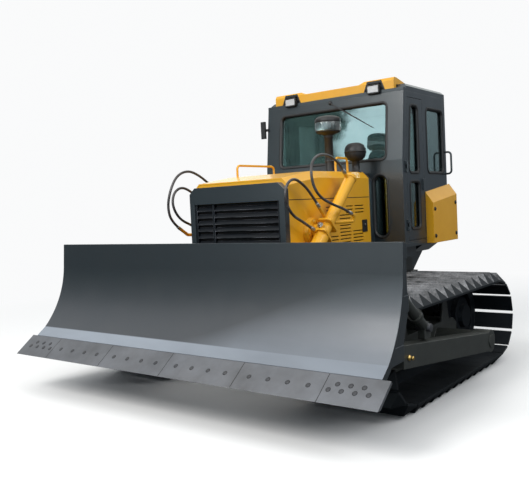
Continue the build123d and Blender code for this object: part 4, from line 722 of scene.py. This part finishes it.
def onCabFront(flat, depth):
    # x and z on the leaning front face, depth along the machine
    y = cabFace["front"] + np.maximum(0, flat[:, 1] - cabFace["leanFrom"]) * cabFace["lean"] - depth
    return np.c_[flat[:, 0], y, flat[:, 1]]


def onCabRear(flat, depth):
    return np.c_[flat[:, 0], np.full(len(flat), cabFace["rear"]) + depth, flat[:, 1]]


def onCabSide(side):
    def place(flat, depth):
        return np.c_[side * (cabFace["side"] + depth), flat[:, 0], flat[:, 1]]
    return place


sealSettings = {
    # the rubber's section: outward over the wall, and depth out of the wall's face
    "section": [(0.017, 0.0), (0.015, 0.005), (0.003, 0.006), (-0.011, 0.002), (-0.018, -0.012),
                (-0.018, -0.024), (-0.001, -0.026), (-0.001, -0.001)],
    "corner": 0.060,
    "doorCorner": 0.054,
    "slotShare": 0.98,         # a slot's corner over its half width
    "windscreen": rectangle(-0.720, 0.720, 2.215, 2.845),
    "rearWindow": rectangle(-0.640, 0.640, 2.060, 2.845),
    "toeWindow": (0.640, 0.090, 1.355, 2.050),
    "quarter": rectangle(front + 3.520, front + 3.985, 2.060, 2.800),
    "doorUpper": [(front + 3.041, 2.056), (front + 3.293, 2.056), (front + 3.293, 2.804),
                  (front + 3.112, 2.804), (front + 3.041, 2.2)],
    "doorLower": rectangle(front + 3.041, front + 3.293, 1.431, 1.960),
}


def makeSeals(settings):
    section, corner = settings["section"], settings["corner"]
    forms = [sweptFrame(settings["windscreen"], corner, section, onCabFront),
             sweptFrame(settings["rearWindow"], corner, section, onCabRear)]
    x, half, low, high = settings["toeWindow"]
    for side in (-1, 1):
        slot = rectangle(side * x - half, side * x + half, low, high)
        forms.append(sweptFrame(slot, half * settings["slotShare"], section, onCabFront))
        forms.append(sweptFrame(settings["quarter"], corner, section, onCabSide(side)))
    newParts("window_seals", forms, "blackTrim", "machine", "black_trim")
    for word, side in twoSides:
        forms = [sweptFrame(settings[key], settings["doorCorner"], section, onCabSide(side))
                 for key in ("doorUpper", "doorLower")]
        newParts("door_seals_" + word, forms, "blackTrim", "door_" + word, "black_trim")


makeSeals(sealSettings)
print("window seals made")

for name, hose in hoses.items():
    word = name.rsplit("_", 1)[1]
    hose.data.materials.append(finishes["hoseBraid"])
    route = np.array(hoseSettings["routes"][name])
    ends = [(route[0], route[1] - route[0]), (route[-1], route[-2] - route[-1])]
    form = stampForm(turnedForm(hoseSettings["collar"], 20), [end for end, way in ends],
                     [turnAxes(way) for end, way in ends])
    ferrules = newPiece(name + "_ferrules", form, "ferruleZinc", "lift_barrel_" + word, "worn_steel")
    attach(hose, "lift_barrel_" + word)
    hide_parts(name)
print("hoses finished")

edgeSettings = {
    "slope": math.radians(37),
    "tip": (front, 0.380),
    "plates": 4, "plateWidth": 0.79325, "endWidth": 0.490,
    # shares of a plate's width where its bolts sit, and how far up the slope each row lies
    "plateShares": (0.15, 0.38, 0.61, 0.84), "plateAlong": 0.132,
    "endShares": (0.10, 0.32, 0.54, 0.76), "endAlong": 0.120,
    "upperShares": (0.21, 0.43, 0.65), "upperAlong": 0.176,
    # pocket: a flat dark disc under each head, painted shade round the bolt
    "pocket": [(0.0205, -0.001), (0.0205, 0.0004), (0.0195, 0.0008), (0.0180, 0.0002)],
    "head": [(0.0172, 0.0), (0.0172, 0.0014), (0.0155, 0.0026), (0.0100, 0.0032), (0.004, 0.0034)],
    "seam": ((-0.0028, 0.002, -0.0008), (0.0028, 0.256, 0.0007), 0.0002),
}


def makeEdgeDetails(settings):
    # plough bolts on flat dark discs that paint the shade in their pockets, and thin dark lines where the plates
    # meet, laid on the edge's slope
    run, rise = math.cos(settings["slope"]), math.sin(settings["slope"])
    axes = [[1, 0, 0], [0, run, rise], [0, -rise, run]]
    wide, half = settings["plateWidth"], settings["plates"] * settings["plateWidth"] / 2
    spots = [(-half + (n + share) * wide, settings["plateAlong"])
             for n in range(settings["plates"]) for share in settings["plateShares"]]
    spots += [(side * (half + share * settings["endWidth"]), settings[row + "Along"])
              for side in (-1, 1) for row in ("end", "upper") for share in settings[row + "Shares"]]
    places = [(x, settings["tip"][0] + s * run, settings["tip"][1] + s * rise) for x, s in spots]
    for name, key, finish in (("edge_bolt_pocket_shade", "pocket", "darkRecess"), ("edge_bolts", "head", "boltSteel")):
        newPiece(name, stampForm(turnedForm(settings[key], 24), places, axes), finish, "blade", "worn_steel")
    joints = [(-half + n * wide, *settings["tip"]) for n in range(settings["plates"] + 1)]
    line = stampForm(facing(slabForm(*settings["seam"])), joints, axes)
    newPiece("edge_seams", line, "darkRecess", "blade", "worn_steel", smooth=False)


makeEdgeDetails(edgeSettings)
print("edge bolts and seams made")

wiperSettings = {
    "pivot": (-0.01, 2.925),
    "tip": (0.54, 2.585),
    # arm and rubber blade: shares of the run from and to, half width, depth and stand off the pane
    "parts": ((0.0, 0.68, 0.007, 0.006, 0.030), (0.42, 1.0, 0.005, 0.014, 0.012)),
    "taper": 0.35, "sag": 0.012, "bow": 0.004, "sink": 0.02,
    "hub": [(0.022, -0.004), (0.022, 0.012), (0.016, 0.020), (0.010, 0.024)],
    "hubWay": (0, -1, 0.117),
}


def makeWiper(settings):
    # an arm from its pivot above the glass, and a rubber blade on its outer end: at share t of the run, and s
    # of the part, half width = wide (1 - taper s) and lift = stand - sag t + bow sin(pi s) - sink
    pivot, run = np.array(settings["pivot"]), np.subtract(settings["tip"], settings["pivot"])
    across = np.array([-run[1], run[0]]) / np.hypot(*run)
    s = np.linspace(0, 1, 9)
    forms = []
    for start, end, wide, deep, stand in settings["parts"]:
        t = start + (end - start) * s
        middle = pivot + run * t[:, None]
        thin = wide * (1 - settings["taper"] * s)
        lift = stand - settings["sag"] * t + settings["bow"] * np.sin(np.pi * s) - settings["sink"]
        rings = [onCabFront(middle + across * (a * thin)[:, None], lift + b * deep)
                 for a, b in ((-1, 0), (1, 0), (1, 1), (-1, 1))]
        forms.append(facing((np.stack(rings, 1).reshape(-1, 3), tubeFaces(len(s), 4))))
    forms.append(stampForm(turnedForm(settings["hub"], 20), onCabFront(pivot[None, :], 0.0),
                           turnAxes(settings["hubWay"])))
    newPiece("wiper", joinForms(forms), "blackTrim", "machine", "black_trim", smooth=False)


makeWiper(wiperSettings)

lampSettings = {
    "x": 0.565, "lens": (0.075, 2.958, 3.050), "front": front + 2.926, "corner": 0.012,
    "section": [(0.006, -0.002), (0.004, 0.004), (-0.007, 0.004), (-0.010, 0.0005), (0.0005, 0.0005),
                (0.0005, -0.028), (0.006, -0.028)],
    # half width and height below and above: the pocket in the visor, the rim round it and its lining
    "pocket": ((0.125, 2.9855), (0.085, 3.075)),
    "rim": ((0.135, 2.9855), (0.088, 3.097)),
    "lining": ((0.119, 2.9895), (0.081, 3.071)),
    "mouth": front + 2.9628, "back": front + 3.017,
}


def makeLamps(settings):
    # a black bezel round each lens, and the dark lining of the visor's pocket behind it
    def onLens(flat, depth):
        return np.c_[flat[:, 0], np.full(len(flat), settings["front"]) - depth, flat[:, 1]]
    half, low, high = settings["lens"]
    y0, y1 = settings["mouth"], settings["back"]
    bezels, linings = [], []
    for side in (-1, 1):
        x = side * settings["x"]
        window = rectangle(x - half, x + half, low, high)
        bezels.append(sweptFrame(window, settings["corner"], settings["section"], onLens))
        outer, rim, thin = (trapeze(x, *settings[key]) for key in ("pocket", "rim", "lining"))
        rings = [(rim, y0), (thin, y0), (thin, y1 - 0.002), (outer, y1 - 0.001), (outer, y0 + 0.0015),
                 (rim, y0 + 0.0015)]
        wall = [(thin, y1 - 0.001), (thin, y1 - 0.003)]
        for outlines, faces in ((rings, gridFaces(6, 4, ring=True)), (wall, tubeFaces(2, 4))):
            linings.append((np.array([(px, y, pz) for ring, y in outlines for px, pz in ring]), faces))
    newParts("lamp_bezels", bezels, "blackTrim", "machine", "black_trim", smooth=False)
    newParts("visor_pockets", linings, "blackTrim", "machine", "black_trim", smooth=False)


makeLamps(lampSettings)
print("lamps and wiper made")

intakeSettings = {
    "place": (0.310, front + 2.367, 0.0), "sides": 40, "ribbedSides": 144,
    "stem": [(0.072, 2.085), (0.072, 2.097), (0.068, 2.101), (0.046, 2.101), (0.045, 2.104), (0.045, 2.455),
             (0.050, 2.458), (0.050, 2.478), (0.046, 2.482), (0.075, 2.500), (0.118, 2.512), (0.132, 2.524),
             (0.132, 2.532), (0.05, 2.535)],
    "clamp": [(0.0455, 2.200), (0.050, 2.202), (0.050, 2.216), (0.0455, 2.218)],
    "bowl": [(0.110, 2.524), (0.1355, 2.530), (0.138, 2.545), (0.138, 2.622), (0.132, 2.634), (0.105, 2.640)],
    "dome": [(0.1375, 2.6235), (0.1395, 2.628), (0.1395, 2.652), (0.134, 2.664), (0.118, 2.678),
             (0.090, 2.688), (0.045, 2.6955), (0.020, 2.699), (0.008, 2.6995)],
    "bowlRibs": (24, 0.012), "domeRibs": (12, 0.008),
}


def ribbedForm(profile, sides, count, depth):
    # a turned form whose radius swells and shrinks: r (1 + depth cos(count t)), closed at both poles
    points, faces = turnedForm(profile, sides)
    swell = 1 + depth * np.cos(count * np.arctan2(points[:, 1], points[:, 0]))
    return points * np.c_[swell, swell, np.ones(len(points))], faces


def makeIntake(settings):
    stem = joinForms([turnedForm(settings[key], settings["sides"]) for key in ("stem", "clamp")])
    bowl, dome = (ribbedForm(settings[key], settings["ribbedSides"], *settings[key + "Ribs"])
                  for key in ("bowl", "dome"))
    parts = {"stem": (stem, "blackTrim"), "bowl": (bowl, "bowlPlastic"), "dome": (dome, "blackTrim")}
    for word, (form, finish) in parts.items():
        form = stampForm(form, [settings["place"]])
        piece = newPiece("precleaner_" + word, form, finish, "machine", "black_trim")
        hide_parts("air_precleaner")


makeIntake(intakeSettings)
print("air intake made")

exhaustSettings = {
    "place": (0.475, front + 2.640, 0.0), "low": 2.207, "high": 2.406, "radius": 0.1215, "seam": 0.0035,
    "swell": 0.62, "neck": [(0.052, 2.075), (0.052, 2.090), (0.041, 2.094), (0.041, 2.205)],
    "shoulder": (0.060, 0.004),         # radius below the egg, and how far below its first ring
}


def makeExhaust(settings):
    # an egg-shaped silencer: r = radius cos(v)^swell, z = middle + half sin(v), with a rolled seam at its middle
    half, middle = (settings["high"] - settings["low"]) / 2, (settings["high"] + settings["low"]) / 2
    v = np.radians(np.r_[np.linspace(-66, -3, 12), -2.9, 2.9, np.linspace(3, 84, 14)])
    radius = (settings["radius"] - settings["seam"]) * np.cos(v) ** settings["swell"]
    radius[12:14] = settings["radius"]
    egg = np.c_[radius, middle + half * np.sin(v)]
    wide, drop = settings["shoulder"]
    form = turnedForm(settings["neck"] + [(wide, egg[0, 1] - drop)] + egg.tolist(), 64)
    piece = newPiece("exhaust_silencer", stampForm(form, [settings["place"]]), "blackTrim", "machine", "black_trim")
    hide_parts("exhaust_stack")


makeExhaust(exhaustSettings)

tankSettings = {
    # the tank from behind, narrower below, and the plates it rests on, seen from the side
    "outline": [(-0.400, 1.080), (0.400, 1.080), (0.720, 1.310), (0.720, 1.800), (-0.720, 1.800), (-0.720, 1.310)],
    "from": front + 4.120, "to": front + 4.740, "topCut": 0.060, "lowCut": 0.120, "corner": 0.030,
    "plate": [(front + 4.1503, 0.800), (front + 4.210, 0.800), (front + 4.580, 1.082), (front + 4.1503, 1.082)],
    "plateX": 0.320, "plateHalf": 0.015,
    "cap": (0.430, front + 4.430, 1.800),
    "capProfile": [(0.055, -0.002), (0.055, 0.012), (0.048, 0.016), (0.048, 0.040), (0.042, 0.046),
                   (0.015, 0.048)],
}


def makeTank(settings):
    # rings along the machine, each the rounded outline held between two heights
    path, outward = roundedOutline(settings["outline"], settings["corner"])
    y0, y1, cut, low = settings["from"], settings["to"], settings["topCut"], settings["lowCut"]
    floor, lid = path[:, 1].min(), path[:, 1].max()
    rings = [(y0, 0.0, floor, lid - cut), (y0 + cut, 0.0, floor, lid), (y1 - low, 0.0, floor, lid),
             (y1 - cut, 0.0, floor + low / 2, lid), (y1 - 0.012, 0.0, floor + low * 0.9, lid - cut * 0.8),
             (y1, 0.012, floor + low, lid - cut)]
    points = [np.c_[path[:, 0] - outward[:, 0] * inset, np.full(len(path), y),
                    np.clip(path[:, 1] - outward[:, 1] * inset, bottom, top)] for y, inset, bottom, top in rings]
    forms = [(np.vstack(points), tubeFaces(len(rings), len(path)))]
    plate = np.array(settings["plate"])
    for side in (-1, 1):
        x = side * settings["plateX"]
        sides = [np.c_[np.full(4, x + way * settings["plateHalf"]), plate] for way in (-1, 1)]
        forms.append((np.vstack(sides), tubeFaces(2, 4)))
    tank = newParts("tank_shell", forms, "charcoalPaint", "machine", "charcoal_paint", smooth=False)
    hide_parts("fuel_tank")
    cap = stampForm(turnedForm(settings["capProfile"], 32), [settings["cap"]])
    piece = newPiece("tank_cap", cap, "blackTrim", "machine", "black_trim")
    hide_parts("fuel_tank")


makeTank(tankSettings)
print("exhaust and tank made")

seatSettings = {
    "y": front + 3.615,
    "cushion": {"half": (0.24, 0.235, 0.062), "middle": (0.0, -0.035, 1.632), "lean": 3.0, "channelsAlong": 1},
    "back": {"half": (0.235, 0.052, 0.295), "middle": (0.0, 0.220, 1.985), "lean": -8.0, "channelsAlong": 2},
    "power": 0.34, "channels": 3, "crown": 0.16, "press": 0.11, "channelWidth": 0.16, "poleShare": 0.985,
    "base": {"half": (0.165, 0.165), "low": 1.281, "high": 1.565, "folds": 5, "sides": 48, "power": 0.35,
             "depth": 0.07},
}


def squared(value, power):
    # a sine or cosine drawn towards a square wave
    return np.sign(value) * np.abs(value) ** power


def padForm(settings, pad):
    # a stuffed pad: a ball squared by a power, swollen in the middle by 1 - crown (x^2 + y^2), with sewn channels
    # pressed across it by 1 - press exp(-(sin(channels pi (run + 1) / 2) / width)^2)
    u = np.linspace(0, 2 * np.pi, 72, endpoint=False)
    v = np.linspace(-np.pi / 2, np.pi / 2, 40) * settings["poleShare"]
    v, u = np.meshgrid(v, u, indexing="ij")
    ring = squared(np.cos(v), settings["power"])
    x, y = ring * squared(np.cos(u), settings["power"]), ring * squared(np.sin(u), settings["power"])
    z = squared(np.sin(v), settings["power"])
    run = (x, y, z)[pad["channelsAlong"]]
    crown = 1 - settings["crown"] * (x ** 2 + y ** 2)
    groove = np.sin(settings["channels"] * np.pi * (run + 1) / 2) / settings["channelWidth"]
    grid = np.stack([x, y, z], -1) * pad["half"]
    grid[..., int(np.argmin(pad["half"]))] *= (1 - settings["press"] * np.exp(-groove ** 2)) * crown
    return closePoles(grid, grid[0].mean(0), grid[-1].mean(0))


def makeSeat(settings):
    for name, key in (("seat_cushion", "cushion"), ("seat_back", "back")):
        pad = settings[key]
        points, faces = padForm(settings, pad)
        t = math.radians(pad["lean"])
        turn = np.array([[1, 0, 0], [0, math.cos(t), -math.sin(t)], [0, math.sin(t), math.cos(t)]])
        middle = np.array(pad["middle"]) + (0, settings["y"], 0)
        piece = newPiece(name, (points @ turn.T + middle, faces), "seatCloth", "machine", "seat_cloth")
        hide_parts("seat")
    # the base is a folded bellows: a squared ring times 1 - depth (1 - cos(2 pi folds t)), t = share of its height
    base = settings["base"]
    t = np.linspace(0, 1, 8 * base["folds"] + 1)[:, None]
    swell = 1 - base["depth"] * (1 - np.cos(2 * np.pi * base["folds"] * t))
    u = np.linspace(0, 2 * np.pi, base["sides"], endpoint=False)
    x, y = (squared(wave(u), base["power"]) * half for wave, half in zip((np.cos, np.sin), base["half"]))
    height = base["low"] + (base["high"] - base["low"]) * t + 0 * u
    points = np.stack([x * swell, y * swell + settings["y"], height], -1).reshape(-1, 3)
    bellows = points, tubeFaces(len(t), base["sides"])
    piece = newPiece("seat_bellows", bellows, "blackTrim", "machine", "black_trim")
    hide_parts("seat")


makeSeat(seatSettings)
print("seat made")

bodySettings = {
    "hoodHalf": 0.590,
    # depth and height of each seam's ends, what each stands proud of the side and how soft its edges are
    "seam": ((front + 1.195, 1.806), (front + 2.700, 1.813), 0.0012, 0.0003),
    "latch": ((front + 2.520, 1.4365), (front + 2.624, 1.5685), 0.010, 0.004),
    "key": (front + 2.572, 1.5145),
    "keyProfile": [(0.011, 0.0), (0.011, 0.004), (0.009, 0.006), (0.004, 0.006)],
    "boxSide": 1.0125,
    "boxBolts": [(front + 3.470, 1.330), (front + 4.070, 1.330), (front + 3.470, 1.640), (front + 4.070, 1.700)],
    # the strip that closes the hood's nose over the guard: its lower and upper line, and how deep it is
    "noseLow": [(-0.590, 1.910), (-0.520, 1.972), (0.520, 1.972), (0.590, 1.910)],
    "noseHigh": [(-0.5895, 1.946), (-0.5195, 2.0155), (0.5195, 2.0155), (0.5895, 1.946)],
    "noseFrom": front + 1.1905, "noseTo": front + 1.204,
}
hexForm = turnedForm([(0.017, 0.0), (0.0172, 0.009), (0.0150, 0.0115), (0.0100, 0.0118)], 6)
washerForm = turnedForm([(0.024, 0.0), (0.024, 0.003), (0.022, 0.004), (0.016, 0.004)], 24)
boltForm = joinForms([washerForm, hexForm])


def sidePlate(side, inner, outer, low, high, soft):
    # a slab on the machine's side between two distances from its middle, and from one corner (y, z) to another
    x0, x1 = sorted((side * inner, side * outer))
    return slabForm((x0, *low), (x1, *high), soft)


def makeBodyDetails(settings):
    half, root = settings["hoodHalf"], settings["hoodHalf"] - 0.001
    seams, latches, keys, bolts = [], [], [], []
    for side in (-1, 1):
        for key, plates in (("seam", seams), ("latch", latches)):
            low, high, proud, soft = settings[key]
            plates.append(sidePlate(side, root, half + proud, low, high, soft))
        place = (side * (half + settings["latch"][2]), *settings["key"])
        keys.append(stampForm(turnedForm(settings["keyProfile"], 20), [place], sideAxes(side)))
        spots = [(side * settings["boxSide"], y, z) for y, z in settings["boxBolts"]]
        bolts.append(stampForm(boltForm, spots, sideAxes(side)))
    newParts("hood_seams", seams, "darkRecess", "machine", "black_trim", smooth=False)
    low, high = settings["noseLow"], settings["noseHigh"]
    near, far = settings["noseFrom"], settings["noseTo"]
    rings = [[(x, y, z) for x, z in line] for line, y in ((low, near), (high, near), (high, far), (low, far))]
    nose = facing((np.stack(rings, 1).reshape(-1, 3), tubeFaces(4, 4)))
    newPiece("hood_nose", nose, "yellowPaint", "machine", "yellow_paint", smooth=False)
    newParts("side_latches", latches, "blackTrim", "machine", "black_trim", smooth=False)
    newParts("latch_keys", keys, "ferruleZinc", "machine", "worn_steel")
    newParts("side_box_bolts", bolts, "blackTrim", "machine", "black_trim", smooth=False)


makeBodyDetails(bodySettings)

coreSettings = {
    "half": 0.528, "low": 0.945, "high": 1.803, "y": front + 1.176, "fins": 88, "depth": 0.004, "thick": 0.006,
    # the dark plates behind the louvres, painted shade for the hood's inside: inner and outer face, two corners and
    # how soft they are
    "backs": (0.560, 0.5635, (front + 1.80, 1.30), (front + 2.62, 1.765), 0.001),
}


def makeCore(settings):
    # the radiator's core behind the slats: y = depth |sin| in upright fins
    x = np.linspace(-settings["half"], settings["half"], settings["fins"] * 4 + 1)
    wave = settings["depth"] * np.abs(np.sin(np.linspace(0, settings["fins"] * np.pi, len(x))))
    face, back = settings["y"] - wave, np.full(len(x), settings["y"] + settings["thick"])
    rows = [np.c_[x, y, np.full(len(x), settings[key])] for y, key in (
        (face, "low"), (face, "high"), (back, "high"), (back, "low"))]
    core = facing((np.stack(rows, 1).reshape(-1, 3), tubeFaces(len(x), 4)))
    newPiece("radiator_core", core, "coreBlack", "machine", "black_trim", smooth=False)
    # dark plates behind the side louvres: painted shade
    plates = [sidePlate(side, *settings["backs"]) for side in (-1, 1)]
    newParts("louvre_shade_plates", plates, "coreBlack", "machine", "black_trim", smooth=False)


makeCore(coreSettings)
print("body details made")

liftSettings = {
    "pivot": (front + 1.540, 1.495), "x": 0.735, "eye": (front + 0.870, 0.854),
    "bossFace": 0.6405, "bossRing": 0.100, "bossBolts": 8, "bossTurn": 0.2,
    "capBolts": 4, "capRing": 0.040, "capBoltScale": 0.6, "behind": 0.746,
    "nutAway": 0.092, "nutWasher": [(0.030, 0.0), (0.030, 0.004), (0.028, 0.006), (0.020, 0.006)],
    "nut": [(0.020, 0.005), (0.0205, 0.020), (0.017, 0.024), (0.012, 0.0245)],
    "pin": [(0.020, -0.060), (0.026, -0.058), (0.026, 0.058), (0.020, 0.060)],
}


def makeLiftDetails(settings):
    # bolts round each boss, a nut on each yoke's pin, bolts in each barrel's end, and a pin through the rod's eye
    (py, pz), (ey, ez) = settings["pivot"], settings["eye"]
    way = np.array([0, ey - py, ez - pz]) / math.hypot(ey - py, ez - pz)
    across = np.array([0, way[2], -way[1]])
    angles = np.arange(settings["bossBolts"]) * 2 * np.pi / settings["bossBolts"] + settings["bossTurn"]
    capAngles = np.arange(settings["capBolts"]) * 2 * np.pi / settings["capBolts"]
    nutForm = joinForms([turnedForm(settings["nutWasher"], 28), turnedForm(settings["nut"], 6)])
    capForm = (hexForm[0] * settings["capBoltScale"], hexForm[1])
    for word, side in twoSides:
        middle = np.array([side * settings["x"], py, pz])
        ring = settings["bossRing"]
        spots = [(side * settings["bossFace"], py + ring * math.cos(a), pz + ring * math.sin(a)) for a in angles]
        boss = facing(stampForm(boltForm, spots, sideAxes(side)))
        newPiece("boss_bolts_" + word, boss, "yellowPaint", "machine", "yellow_paint", smooth=False)
        nut = facing(stampForm(nutForm, [middle + across * settings["nutAway"]], turnAxes(across)))
        newPiece("yoke_nut_" + word, nut, "ferruleZinc", "lift_barrel_" + word, "worn_steel", smooth=False)
        axes = np.array(turnAxes(-way))
        circle = [math.cos(a) * axes[0] + math.sin(a) * axes[1] for a in capAngles]
        spots = [middle - way * settings["behind"] + settings["capRing"] * turn for turn in circle]
        newPiece("cap_bolts_" + word, facing(stampForm(capForm, spots, axes)), "yellowPaint",
                 "lift_barrel_" + word, "yellow_paint", smooth=False)
        pin = stampForm(turnedForm(settings["pin"], 28), [(middle[0], ey, ez)], sideAxes(side))
        newPiece("eye_pin_" + word, pin, "darkRecess", "blade", "worn_steel")


makeLiftDetails(liftSettings)
print("lift details made")

armSettings = {
    "fitting": (2.0, front + 0.640, 0.600), "braceFoot": (1.925, front + 1.080, 0.745),
    "nipple": [(0.022, 0.0), (0.022, 0.010), (0.013, 0.013), (0.013, 0.026), (0.018, 0.032), (0.012, 0.040),
               (0.006, 0.042)],
    "pin": [(0.030, -0.062), (0.033, -0.060), (0.033, 0.060), (0.030, 0.062)],
}


def makeArmDetails(settings):
    # a brass grease fitting on each arm's front end, and a pin through the foot of each brace
    for name, spot, key, sides, finish in (("arm_fittings", "fitting", "nipple", 20, "brass"),
                                           ("brace_pins", "braceFoot", "pin", 28, "boltSteel")):
        x, y, z = settings[spot]
        form = turnedForm(settings[key], sides)
        newParts(name, [stampForm(form, [(side * x, y, z)], sideAxes(side)) for side in (-1, 1)],
                 finish, "blade", "worn_steel")


makeArmDetails(armSettings)

print("pieces made")
